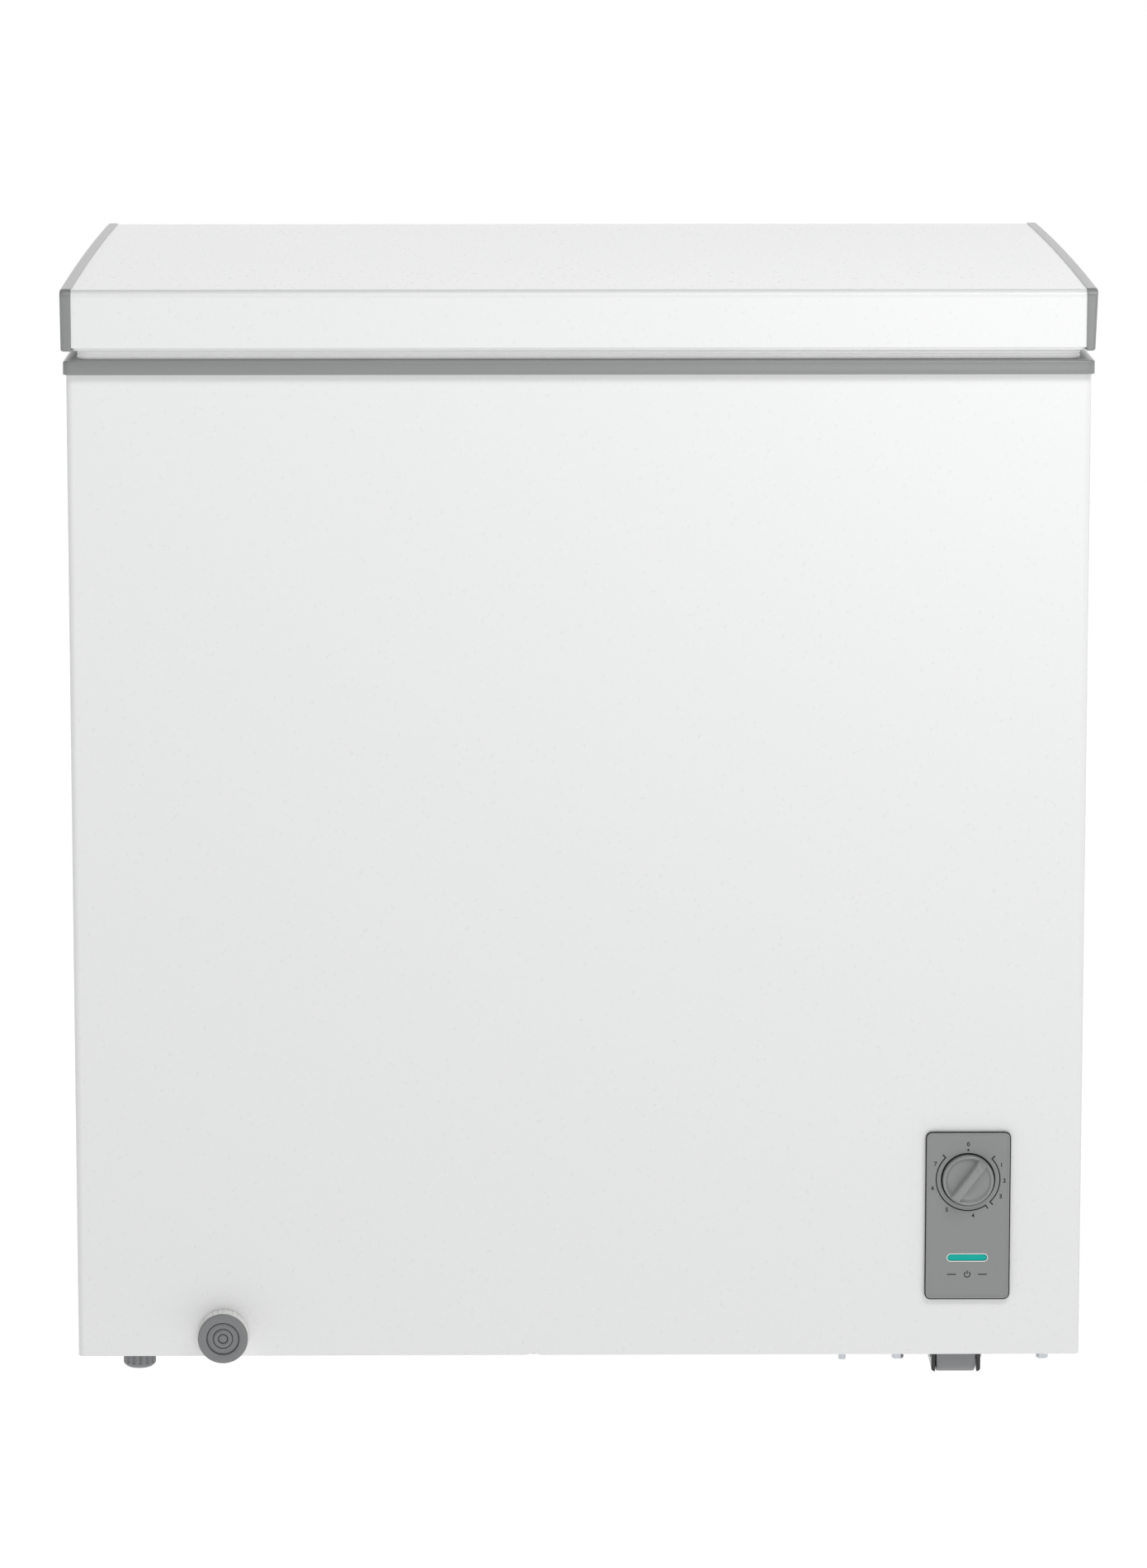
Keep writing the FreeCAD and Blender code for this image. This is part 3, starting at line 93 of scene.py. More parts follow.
world = bpy.data.worlds.new("white_surround")
bpy.context.scene.world = world
world.use_nodes = True
tree = world.node_tree
sky = tree.nodes["Background"]
direction = put(tree, "ShaderNodeTexCoord")
height = put(tree, "ShaderNodeSeparateXYZ", {"Vector": direction.outputs["Generated"]})
fade = put(tree, "ShaderNodeValToRGB", {"Fac": height.outputs["Z"]})
fade.color_ramp.elements[0].position = 0.15
fade.color_ramp.elements[0].color = (1.0, 1.0, 1.0, 1)
fade.color_ramp.elements[1].position = 0.8
fade.color_ramp.elements[1].color = (0.7, 0.7, 0.7, 1)
middle = fade.color_ramp.elements.new(0.42)
middle.color = (0.8, 0.8, 0.8, 1)
tree.links.new(fade.outputs["Color"], sky.inputs["Color"])
sky.inputs["Strength"].default_value = 0.32

for lamp_name, place, aim, size, power in (
    ("right_softbox", (0.95, -4.6, 0.45), (0.3, -0.27, 0.7), (1.0, 1.3), 15),
    ("top_right_softbox", (1.05, -1.35, 1.95), (0.1, -0.27, 0.5), (0.8, 0.8), 10),
    ("front_top_softbox", (0.3, -2.0, 3.2), (0.0, -0.27, 0.8), (1.6, 0.8), 23),
    ("back_softbox", (0.0, 4.6, 1.7), (0.0, 0.0, 0.85), (8.0, 3.2), 95),
):
    lamp = bpy.data.lights.new(lamp_name, "AREA")
    lamp.shape = "RECTANGLE"
    lamp.size, lamp.size_y = size
    lamp.energy = power
    holder = bpy.data.objects.new(lamp_name, lamp)
    holder.location = place
    holder.rotation_euler = (Vector(aim) - Vector(place)).to_track_quat("-Z", "Y").to_euler()
    bpy.context.scene.collection.objects.link(holder)

tilt_down, turn_right = 0.15425, 0.00921      # radians
eye = bpy.data.cameras.new("catalogue_camera")
eye.lens = 136.9
eye.sensor_width = 36
eye.shift_y = -0.12
eye.clip_start, eye.clip_end = 0.1, 200
camera = bpy.data.objects.new("catalogue_camera", eye)
camera.location = (-0.0454, -4.7303, 1.3074)
camera.rotation_euler = (math.pi / 2 - tilt_down, 0, -turn_right)
bpy.context.scene.collection.objects.link(camera)
bpy.context.scene.camera = camera


def dress(material, *names):
    """Gives CAD nodes a material in every slot."""
    for name in names:
        mesh = nodes[name].data
        mesh.materials.clear()
        mesh.materials.append(material)


# ---------------------------------------------------------------- cabinet front and sides
# One folded steel sheet, pre-painted white with a fine orange-peel powder coat.
# Satin, so it shows soft lamp reflections, with very slight waves where the foam holds the sheet.
white_paint, tree, shader = finish_named("powder_coated_steel_white")
peel_mm, wave_mm = 3.0, 90.0      # real peel is 1 mm across, drawn coarser so that it shows
where = put(tree, "ShaderNodeTexCoord").outputs["Object"]
peel = put(tree, "ShaderNodeTexNoise", {"Vector": where, "Scale": 1 / (peel_mm * MM), "Detail": 1.0})
tint = put(tree, "ShaderNodeMix", {"Factor": peel.outputs["Fac"], "A": srgb("#EEEFEF"), "B": srgb("#F1F1F1")},
           data_type="RGBA")
tree.links.new(tint.outputs["Result"], shader.inputs["Base Color"])
wave = put(tree, "ShaderNodeTexNoise", {"Vector": where, "Scale": 1 / (wave_mm * MM), "Detail": 0.0})
waves = put(tree, "ShaderNodeBump", {"Strength": 0.03, "Distance": 0.5 * MM, "Height": wave.outputs["Fac"]})
skin = put(tree, "ShaderNodeBump", {"Strength": 0.10, "Distance": 0.05 * MM, "Height": peel.outputs["Fac"],
                                    "Normal": waves.outputs["Normal"]})
tree.links.new(skin.outputs["Normal"], shader.inputs["Normal"])
matt = put(tree, "ShaderNodeMapRange", {"Value": peel.outputs["Fac"], "To Min": 0.26, "To Max": 0.31})
tree.links.new(matt.outputs["Result"], shader.inputs["Roughness"])
shader.inputs["IOR"].default_value = 1.5
dress(white_paint, "outer_wrap")


def mesh_piece(name, points, faces, material, body, slot, sharp_deg=35.0):
    """A new mesh object, smooth except across sharp edges, that rides on a body."""
    mesh = bpy.data.meshes.new(name)
    mesh.from_pydata([tuple(p) for p in points], [], faces)
    tidy = bmesh.new()
    tidy.from_mesh(mesh)
    bmesh.ops.recalc_face_normals(tidy, faces=tidy.faces)
    tidy.to_mesh(mesh)
    tidy.free()
    mesh.shade_smooth()
    mesh.set_sharp_from_angle(angle=math.radians(sharp_deg))
    mesh.materials.append(material)
    piece = bpy.data.objects.new(name, mesh)
    bpy.context.scene.collection.objects.link(piece)
    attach(piece, body)
    return piece


# Pressed louvre hoods over the two columns of vent slots in the compressor side, each a
# half-round blister of the same painted sheet, open downwards.
wrap_low, wrap_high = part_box("outer_wrap")
shell_low, shell_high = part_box("compressor_shell")
louvre_rows, louvre_pitch, louvre_length, louvre_rise, louvre_drop = 10, 16 * MM, 56 * MM, 2.4 * MM, 8 * MM
louvre_first, column_pitch, hood_above, hood_beyond = wrap_low.z + 52 * MM, 70 * MM, 7.5 * MM, 1 * MM
louvre_start = (shell_low.y + shell_high.y) / 2 - 92 * MM
steps_along, steps_down = 14, 6
hood_points, hood_faces = [], []
for row in range(louvre_rows):
    for start in (louvre_start, louvre_start + column_pitch):
        top = louvre_first + row * louvre_pitch + hood_above
        first = len(hood_points)
        for i in range(steps_along + 1):
            along = i / steps_along
            swell = math.sin(math.pi * along) ** 0.45
            for j in range(steps_down + 1):
                down = j / steps_down
                hood_points.append((
                    wrap_high.x + 0.1 * MM + louvre_rise * swell * math.sin(down * math.pi / 2),
                    start - hood_beyond + along * (louvre_length + 2 * hood_beyond),
                    top - louvre_drop * down * (0.25 + 0.75 * swell)))
        for i in range(steps_along):
            for j in range(steps_down):
                a = first + i * (steps_down + 1) + j
                hood_faces.append((a, a + 1, a + steps_down + 2, a + steps_down + 1))
louvre_hoods = mesh_piece("louvre_hoods", hood_points, hood_faces, white_paint, "cabinet",
                          "white_painted_steel")
sheet_gauge = louvre_hoods.modifiers.new("sheet_gauge", "SOLIDIFY")
sheet_gauge.thickness = 0.5 * MM
sheet_gauge.offset = 1.0


# ---------------------------------------------------------------- back, base and compressor bay sheets
# Hot-dip galvanised steel, left bare. The zinc freezes in crystals, which show as a patchwork
# of slightly different greys with different gloss.
zinc_dip, tree, shader = finish_named("galvanised_steel_spangled")
spangle_mm = 9.0
where = put(tree, "ShaderNodeTexCoord").outputs["Object"]
crystal = put(tree, "ShaderNodeTexVoronoi", {"Vector": where, "Scale": 1 / (spangle_mm * MM)})
grain = put(tree, "ShaderNodeSeparateColor", {"Color": crystal.outputs["Color"]})
flakes = put(tree, "ShaderNodeMix",
             {"Factor": grain.outputs["Red"], "A": srgb("#A9ACAE"), "B": srgb("#C4C7C9")},
             data_type="RGBA")
tree.links.new(flakes.outputs["Result"], shader.inputs["Base Color"])
dull = put(tree, "ShaderNodeMapRange", {"Value": grain.outputs["Green"], "To Min": 0.38, "To Max": 0.58})
tree.links.new(dull.outputs["Result"], shader.inputs["Roughness"])
facet = put(tree, "ShaderNodeBump", {"Strength": 0.15, "Distance": 0.2 * MM, "Height": grain.outputs["Blue"]})
tree.links.new(facet.outputs["Normal"], shader.inputs["Normal"])
shader.inputs["Metallic"].default_value = 0.85
dress(zinc_dip, "back_panel", "base_pan", "compressor_bay_panel", "compressor_base_plate", "rear_grille")


# ---------------------------------------------------------------- screws, bolts, axles and sockets
# Bright zinc-plated steel: rolled-thread screws, hexagon bolts, riveted axle pins and pressed
# sockets. Smooth and slightly blue, with fine marks from barrel plating.
plating, tree, shader = finish_named("zinc_plated_steel_bright")
scuff_mm = 1.2
where = put(tree, "ShaderNodeTexCoord").outputs["Object"]
scuff = put(tree, "ShaderNodeTexNoise", {"Vector": where, "Scale": 1 / (scuff_mm * MM), "Detail": 4.0})
marks = put(tree, "ShaderNodeMapRange", {"Value": scuff.outputs["Fac"], "To Min": 0.22, "To Max": 0.42})
tree.links.new(marks.outputs["Result"], shader.inputs["Roughness"])
tone = put(tree, "ShaderNodeMix",
           {"Factor": scuff.outputs["Fac"], "A": srgb("#B9BDC2"), "B": srgb("#D2D5D8")},
           data_type="RGBA")
tree.links.new(tone.outputs["Result"], shader.inputs["Base Color"])
shader.inputs["Metallic"].default_value = 1.0
dress(plating, "base_plate_bolts", "compressor_bolts", "back_screws", "hinge_arm_screws", "roller_axles",
      "hinge_pins",
      "foot_sockets", "thermostat_shaft")


# ---------------------------------------------------------------- levelling feet
# Injection-moulded grey polypropylene pads with finger scallops, on an M8 plated stud that
# is moulded in. The underside has a chamfer, and the scallops stop short of it. Satin, with
# faint pores.
grey_pp, tree, shader = finish_named("moulded_polypropylene_grey")
pores_mm = 0.8
where = put(tree, "ShaderNodeTexCoord").outputs["Object"]
pores = put(tree, "ShaderNodeTexNoise", {"Vector": where, "Scale": 1 / (pores_mm * MM), "Detail": 3.0})
cast = put(tree, "ShaderNodeMix",
           {"Factor": pores.outputs["Fac"], "A": srgb("#7C7D7E"), "B": srgb("#88898A")},
           data_type="RGBA")
tree.links.new(cast.outputs["Result"], shader.inputs["Base Color"])
pitted = put(tree, "ShaderNodeBump",
             {"Strength": 0.25, "Distance": 0.06 * MM, "Height": pores.outputs["Fac"]})
tree.links.new(pitted.outputs["Normal"], shader.inputs["Normal"])
shader.inputs["Roughness"].default_value = 0.5
shader.inputs["IOR"].default_value = 1.49


def turned(profile, centre, axis, steps=96, flutes=0, phase=0.0):
    """Points and faces of a profile of (radius, along, flute depth) turned round an axis."""
    along = Vector(axis).normalized()
    side = along.orthogonal().normalized()
    other = along.cross(side)
    points, faces = [], []
    for k in range(steps):
        angle = 2 * math.pi * k / steps
        scallop = max(0.0, math.cos(flutes * angle + phase)) ** 1.5 if flutes else 0.0
        spoke = side * math.cos(angle) + other * math.sin(angle)
        for radius, reach, depth in profile:
            points.append(Vector(centre) + along * reach + spoke * max(radius - depth * scallop, 0.0))
    count = len(profile)
    for k in range(steps):
        here, there = k * count, (k + 1) % steps * count
        for i in range(count - 1):
            ring = [here + i, here + i + 1, there + i + 1, there + i]
            if profile[i][0] == 0:
                ring = [here, here + 1, there + 1]
            if profile[i + 1][0] == 0:
                ring = [here + i, here + i + 1, there + i]
            faces.append(ring)
    return points, faces


def turned_piece(name, profile, centre, axis, material, body, slot, **shape):
    """A turned profile as a piece, with the points that meet on its axis joined into one."""
    points, faces = turned(profile, centre, axis, **shape)
    piece = mesh_piece(name, points, faces, material, body, slot)
    joined = bmesh.new()
    joined.from_mesh(piece.data)
    bmesh.ops.remove_doubles(joined, verts=joined.verts, dist=0.002 * MM)
    joined.to_mesh(piece.data)
    joined.free()
    return piece


foot_scallops, steps_per_scallop = 14, 12
thread_pitch, thread_root, thread_crest = 1.25 * MM, 3.35 * MM, 3.98 * MM
for place in ("front", "rear"):
    cad = "levelling_foot_" + place
    low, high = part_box(cad)
    middle_of_foot = Vector(((low.x + high.x) / 2, (low.y + high.y) / 2, 0))
    pad_radius, pad_top = (high.x - low.x) / 2, 12 * MM
    pad = [(0, 0.5 * MM, 0), (pad_radius - 5 * MM, 0.5 * MM, 0), (pad_radius - 4.4 * MM, 0, 0),
           (pad_radius - 2.4 * MM, 0, 0), (pad_radius - 0.5 * MM, 1.6 * MM, 0),
           (pad_radius - 0.1 * MM, 2.3 * MM, 0), (pad_radius, 3.2 * MM, 0.1 * MM),
           (pad_radius, 3.7 * MM, 1.1 * MM), (pad_radius, pad_top - 1.2 * MM, 1.3 * MM),
           (pad_radius - 0.3 * MM, pad_top - 0.4 * MM, 1.2 * MM), (pad_radius - 1.1 * MM, pad_top, 0.9 * MM),
           (5.2 * MM, pad_top, 0), (4.0 * MM, pad_top, 0), (0, pad_top, 0)]
    foot_pad = turned_piece("foot_pad_" + place, pad, middle_of_foot, (0, 0, 1), grey_pp, "foot_" + place,
                            "grey_moulded_plastic", steps=foot_scallops * steps_per_scallop,
                            flutes=foot_scallops)
    thread = [(0, pad_top - 1 * MM, 0), (3.3 * MM, pad_top - 1 * MM, 0)]
    level = pad_top
    while level < high.z - 1.5 * thread_pitch:
        thread += [(thread_root, level, 0), (thread_crest, level + thread_pitch * 0.45, 0),
                   (thread_crest, level + thread_pitch * 0.6, 0)]
        level += thread_pitch
    thread += [(3.3 * MM, level, 0), (3.0 * MM, high.z, 0), (0, high.z, 0)]
    turned_piece("foot_stud_" + place, thread, middle_of_foot, (0, 0, 1), plating, "foot_" + place,
                 "zinc_plated_steel", steps=48)
    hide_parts(cad)


# ---------------------------------------------------------------- rollers and their brackets
# Grey polypropylene rollers, 30 mm across, moulded with a shallow web at each end, in folded
# brackets of steel dipped in black enamel.
black_dip, tree, shader = finish_named("enamelled_steel_black")
where = put(tree, "ShaderNodeTexCoord").outputs["Object"]
orange = put(tree, "ShaderNodeTexNoise", {"Vector": where, "Scale": 1 / (2.5 * MM), "Detail": 2.0})
flow = put(tree, "ShaderNodeBump", {"Strength": 0.2, "Distance": 0.1 * MM, "Height": orange.outputs["Fac"]})
tree.links.new(flow.outputs["Normal"], shader.inputs["Normal"])
sheen = put(tree, "ShaderNodeMapRange", {"Value": orange.outputs["Fac"], "To Min": 0.18, "To Max": 0.34})
tree.links.new(sheen.outputs["Result"], shader.inputs["Roughness"])
shader.inputs["Base Color"].default_value = srgb("#17181A")
shader.inputs["Coat Weight"].default_value = 0.3
dress(black_dip, "roller_brackets", "compressor_shell")

for place in ("front", "rear"):
    cad = "roller_" + place
    low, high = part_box(cad)
    hub = Vector((low.x, (low.y + high.y) / 2, (low.z + high.z) / 2))
    rim, span = (high.z - low.z) / 2, high.x - low.x
    bore, web = 3.07 * MM, 2.2 * MM
    half_wheel = [(bore, 0), (bore + 2.6 * MM, 0), (bore + 2.9 * MM, 0.3 * MM), (bore + 3.2 * MM, web),
                  (rim - 3.6 * MM, web), (rim - 3.2 * MM, 0.4 * MM), (rim - 2.8 * MM, 0), (rim - 1.1 * MM, 0),
                  (rim - 0.3 * MM, 0.5 * MM), (rim, 1.4 * MM)]
    far_half = [(r, span - x) for r, x in reversed(half_wheel)]
    wheel = [(r, x, 0) for r, x in half_wheel + far_half + half_wheel[:1]]
    roller = turned_piece("roller_wheel_" + place, wheel, hub, (1, 0, 0), grey_pp, "roller_" + place,
                          "grey_moulded_plastic", steps=96)
    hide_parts(cad)


# ---------------------------------------------------------------- tub
# Stucco-embossed aluminium sheet, rolled with a small dimpled pattern that hides handling
# marks, folded and sealed at its corners. Bright but diffuse.
stucco, tree, shader = finish_named("aluminium_stucco_embossed")
dimple_mm = 5.0
where = put(tree, "ShaderNodeTexCoord").outputs["Object"]
blurred = put(tree, "ShaderNodeTexNoise", {"Vector": where, "Scale": 1 / (dimple_mm * MM), "Detail": 1.5})
pebble = put(tree, "ShaderNodeTexVoronoi",
             {"Vector": where, "Scale": 1 / (dimple_mm * MM), "Randomness": 1.0},
             feature="SMOOTH_F1")
relief = put(tree, "ShaderNodeMath", {0: blurred.outputs["Fac"], 1: pebble.outputs["Distance"]},
             operation="MULTIPLY")
dents = put(tree, "ShaderNodeBump",
            {"Strength": 0.55, "Distance": 0.6 * MM, "Height": relief.outputs["Value"]})
tree.links.new(dents.outputs["Normal"], shader.inputs["Normal"])
haze = put(tree, "ShaderNodeMapRange", {"Value": blurred.outputs["Fac"], "To Min": 0.30, "To Max": 0.44})
tree.links.new(haze.outputs["Result"], shader.inputs["Roughness"])
oxide = put(tree, "ShaderNodeMix",
            {"Factor": pebble.outputs["Distance"], "A": srgb("#E2E4E5"), "B": srgb("#F2F3F3")},
            data_type="RGBA")
tree.links.new(oxide.outputs["Result"], shader.inputs["Base Color"])
shader.inputs["Metallic"].default_value = 0.55
dress(stucco, "inner_liner")


# ---------------------------------------------------------------- foam
# Rigid polyurethane, foamed in place between the sheets: cream, matt, with closed cells.
foam, tree, shader = finish_named("polyurethane_foam_cream")
cell_mm = 2.0
where = put(tree, "ShaderNodeTexCoord").outputs["Object"]
cells = put(tree, "ShaderNodeTexVoronoi", {"Vector": where, "Scale": 1 / (cell_mm * MM)})
aged = put(tree, "ShaderNodeMix",
           {"Factor": cells.outputs["Distance"], "A": srgb("#E4D7A6"), "B": srgb("#D2C188")},
           data_type="RGBA")
tree.links.new(aged.outputs["Result"], shader.inputs["Base Color"])
bubbles = put(tree, "ShaderNodeBump",
              {"Strength": 0.6, "Distance": 0.5 * MM, "Height": cells.outputs["Distance"]})
tree.links.new(bubbles.outputs["Normal"], shader.inputs["Normal"])
shader.inputs["Roughness"].default_value = 0.85
dress(foam, "cabinet_foam", "lid_foam")


# ---------------------------------------------------------------- collar
# One injection-moulded frame of grey ABS that clips over the top edges of the sheet and the tub.
# Spark-textured mould, so a fine even grain, with softly rounded edges.
grey_abs, tree, shader = finish_named("moulded_abs_grey_spark_texture")
spark_mm = 0.9                    # real grain is 0.1 mm, drawn coarser so that it shows
where = put(tree, "ShaderNodeTexCoord").outputs["Object"]
spark = put(tree, "ShaderNodeTexNoise", {"Vector": where, "Scale": 1 / (spark_mm * MM), "Detail": 2.0})
pigment = put(tree, "ShaderNodeMix",
              {"Factor": spark.outputs["Fac"], "A": srgb("#8A8B8B"), "B": srgb("#919292")},
              data_type="RGBA")
tree.links.new(pigment.outputs["Result"], shader.inputs["Base Color"])
grained = put(tree, "ShaderNodeBump",
              {"Strength": 0.18, "Distance": 0.05 * MM, "Height": spark.outputs["Fac"]})
tree.links.new(grained.outputs["Normal"], shader.inputs["Normal"])
shader.inputs["Roughness"].default_value = 0.32
shader.inputs["IOR"].default_value = 1.53


def rounded_ring(x0, x1, y0, y1, inset, front_corner, back_corner, z, arc=8):
    """Points round a rectangle with rounded corners, the same number for every ring."""
    points = []
    for cx, cy, start, corner in ((x1, y0, -90, front_corner), (x1, y1, 0, back_corner),
                                  (x0, y1, 90, back_corner), (x0, y0, 180, front_corner)):
        radius = max(corner - inset, 0.3 * MM)
        hub_x = cx - math.copysign(inset + radius, cx - (x0 + x1) / 2)
        hub_y = cy - math.copysign(inset + radius, cy - (y0 + y1) / 2)
        for k in range(arc + 1):
            angle = math.radians(start + 90 * k / arc)
            points.append((hub_x + radius * math.cos(angle), hub_y + radius * math.sin(angle), z))
    return points


def lofted(rings):
    """Points and faces of equal rings joined in turn, the last to the first."""
    count = len(rings[0])
    faces = []
    for r in range(len(rings)):
        a, b = r * count, (r + 1) % len(rings) * count
        faces += [(a + i, a + (i + 1) % count, b + (i + 1) % count, b + i) for i in range(count)]
    return [p for ring in rings for p in ring], faces


def filled_loft(rings):
    """Like lofted, but the first and the last ring are filled in, not joined."""
    points, faces = lofted(rings)
    count = len(rings[0])
    ends = [tuple(range(count)), tuple(len(points) - 1 - i for i in range(count))]
    return points, faces[:-count] + ends


rim_low, rim_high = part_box("collar_frame")
tub_low, tub_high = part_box("inner_liner")
tub_lip, shelf, shelf_drop, mouth_corner = 12 * MM, 15.5 * MM, 6.5 * MM, 25 * MM
mouth = (tub_low.x + tub_lip, tub_high.x - tub_lip, tub_low.y + tub_lip, tub_high.y - tub_lip)
outer = (rim_low.x, rim_high.x, rim_low.y, rim_high.y)
corner, bottom, top = 6 * MM, rim_low.z, rim_high.z
rings = [rounded_ring(*outer, inset, corner, 1.0 * MM, z) for inset, z in (
    (1.6 * MM, bottom), (0.5 * MM, bottom), (0.12 * MM, bottom + 0.15 * MM), (0, bottom + 0.55 * MM),
    (0, top - 1.5 * MM), (0.12 * MM, top - 1.1 * MM), (0.5 * MM, top - 0.55 * MM),
    (1.1 * MM, top - 0.15 * MM), (1.7 * MM, top), (2.6 * MM, top))]
rings += [rounded_ring(*mouth, -grow, mouth_corner, mouth_corner, z) for grow, z in (
    (shelf + 0.6 * MM, top), (shelf + 0.1 * MM, top - 0.2 * MM), (shelf, top - 0.7 * MM),
    (shelf, top - shelf_drop + 0.5 * MM), (shelf - 0.5 * MM, top - shelf_drop),
    (0.8 * MM, top - shelf_drop), (0.2 * MM, top - shelf_drop - 0.25 * MM),
    (0, top - shelf_drop - 0.9 * MM), (0, bottom))]
points, faces = lofted(rings)
collar = mesh_piece("collar_moulding", points, faces, grey_abs, "cabinet", "grey_moulded_plastic", 40)
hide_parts("collar_frame")


# ---------------------------------------------------------------- refrigerant circuit
# Soft-drawn copper tube, dull and slightly browned, with brazed joints, and a spun copper drier.
# The compressor is two deep-drawn steel cups welded round their rim and enamelled black.
copper, tree, shader = finish_named("drawn_copper_tube_dull")
where = put(tree, "ShaderNodeTexCoord").outputs["Object"]
stain = put(tree, "ShaderNodeTexNoise", {"Vector": where, "Scale": 1 / (14 * MM), "Detail": 3.0})
browned = put(tree, "ShaderNodeMix",
              {"Factor": stain.outputs["Fac"], "A": srgb("#A8603C"), "B": srgb("#D08A62")},
              data_type="RGBA")
tree.links.new(browned.outputs["Result"], shader.inputs["Base Color"])
tarnish = put(tree, "ShaderNodeMapRange", {"Value": stain.outputs["Fac"], "To Min": 0.24, "To Max": 0.5})
tree.links.new(tarnish.outputs["Result"], shader.inputs["Roughness"])
shader.inputs["Metallic"].default_value = 1.0
dress(copper, "evaporator_coil", "condenser_coil", "refrigerant_lines", "filter_drier", "sensor_tube")

# Black rubber: almost matt, with a faint dusty bloom.
rubber, tree, shader = finish_named("moulded_rubber_black")
bloom = put(tree, "ShaderNodeTexNoise", {"Vector": put(tree, "ShaderNodeTexCoord").outputs["Object"],
                                         "Scale": 1 / (3 * MM), "Detail": 3.0})
dusty = put(tree, "ShaderNodeMix",
            {"Factor": bloom.outputs["Fac"], "A": srgb("#1E1E1F"), "B": srgb("#2B2B2C")},
            data_type="RGBA")
tree.links.new(dusty.outputs["Result"], shader.inputs["Base Color"])
shader.inputs["Roughness"].default_value = 0.75
dress(rubber, "compressor_bushes", "gasket_magnets")

# Black nylon: satin, and slightly dappled by the glass fibre in it.
black_nylon, tree, shader = finish_named("moulded_nylon_black")
where = put(tree, "ShaderNodeTexCoord").outputs["Object"]
fibre = put(tree, "ShaderNodeTexNoise", {"Vector": where, "Scale": 1 / (1.0 * MM), "Detail": 2.0})
dappled = put(tree, "ShaderNodeMix",
              {"Factor": fibre.outputs["Fac"], "A": srgb("#1B1C1D"), "B": srgb("#262728")},
              data_type="RGBA")
tree.links.new(dappled.outputs["Result"], shader.inputs["Base Color"])
rough_skin = put(tree, "ShaderNodeBump",
                 {"Strength": 0.2, "Distance": 0.05 * MM, "Height": fibre.outputs["Fac"]})
tree.links.new(rough_skin.outputs["Normal"], shader.inputs["Normal"])
shader.inputs["Roughness"].default_value = 0.5
dress(black_nylon, "starter_cover", "cord_inlet_gland", "lamp_holder", "wiring_harness", "thermostat_body",
      "hinge_plunger_left", "hinge_plunger_right")


# ---------------------------------------------------------------- control panel
# A grey ABS plate, fine-textured, clipped into a cut-out of the front sheet. The scale round the
# knob and the marks under the lamp are pad-printed in black ink.
dress(grey_abs, "control_panel")
panel_low, panel_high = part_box("control_panel")
knob_low, knob_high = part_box("thermostat_knob")
lamp_low, lamp_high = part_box("power_light_lens")
panel_face = panel_low.y
dial_centre = Vector(((knob_low.x + knob_high.x) / 2, panel_face, (knob_low.z + knob_high.z) / 2))
lamp_centre = Vector(((lamp_low.x + lamp_high.x) / 2, panel_face, (lamp_low.z + lamp_high.z) / 2))

ink, tree, shader = finish_named("pad_printed_ink_black")
shade = put(tree, "ShaderNodeTexNoise", {"Vector": put(tree, "ShaderNodeTexCoord").outputs["Object"],
                                         "Scale": 1 / (0.5 * MM), "Detail": 1.0})
coverage = put(tree, "ShaderNodeMix",
               {"Factor": shade.outputs["Fac"], "A": srgb("#0C0C0D"), "B": srgb("#141415")},
               data_type="RGBA")
tree.links.new(coverage.outputs["Result"], shader.inputs["Base Color"])
shader.inputs["Roughness"].default_value = 0.6

ink_film, scale_line, symbol_line = 0.05 * MM, 0.95 * MM, 0.75 * MM
print_points, print_faces = [], []


def inked(outline, centre):
    """A flat patch of ink on the panel from (across, up) points, with a thin edge."""
    first = len(print_points)
    for lift in (0.0, ink_film):
        print_points.extend(Vector((centre.x + a, panel_face - 0.01 * MM - lift, centre.z + b))
                            for a, b in outline)
    count = len(outline)
    print_faces.append(tuple(first + count + i for i in range(count)))
    print_faces.append(tuple(first + i for i in reversed(range(count))))
    print_faces.extend((first + i, first + (i + 1) % count, first + count + (i + 1) % count,
                        first + count + i)
                       for i in range(count))


def clockwise(radius, degrees):
    """A point (across, up) at a radius and an angle clockwise from straight up."""
    turn = math.radians(degrees)
    return radius * math.sin(turn), radius * math.cos(turn)


def arc_line(radius, start, end, centre, line, steps=60):
    """An inked arc, clockwise between two angles, as wide as line."""
    for k in range(steps):
        a, b = (start + (end - start) * (k + j) / steps for j in (0, 1))
        inked([clockwise(radius - line / 2, a), clockwise(radius + line / 2, a),
               clockwise(radius + line / 2, b), clockwise(radius - line / 2, b)], centre)


# two arcs round the knob, each with a tick at both ends, and a small pointer at the figure 0
scale_radius, tick = 24.5 * MM, 3.2 * MM
tick_foot, tick_end = scale_radius - scale_line / 2, scale_radius + tick
half_turn = math.degrees(scale_line / 2 / scale_radius)
for start, end in ((48, 136), (146, 315)):
    arc_line(scale_radius, start, end, dial_centre, scale_line)
    for degrees in (start, end):
        before, after = degrees - half_turn, degrees + half_turn
        inked([clockwise(tick_foot, before), clockwise(tick_end, before),
               clockwise(tick_end, after), clockwise(tick_foot, after)], dial_centre)
inked([(-1.15 * MM, 22.6 * MM), (1.15 * MM, 22.6 * MM), (0, 24.6 * MM)], dial_centre)

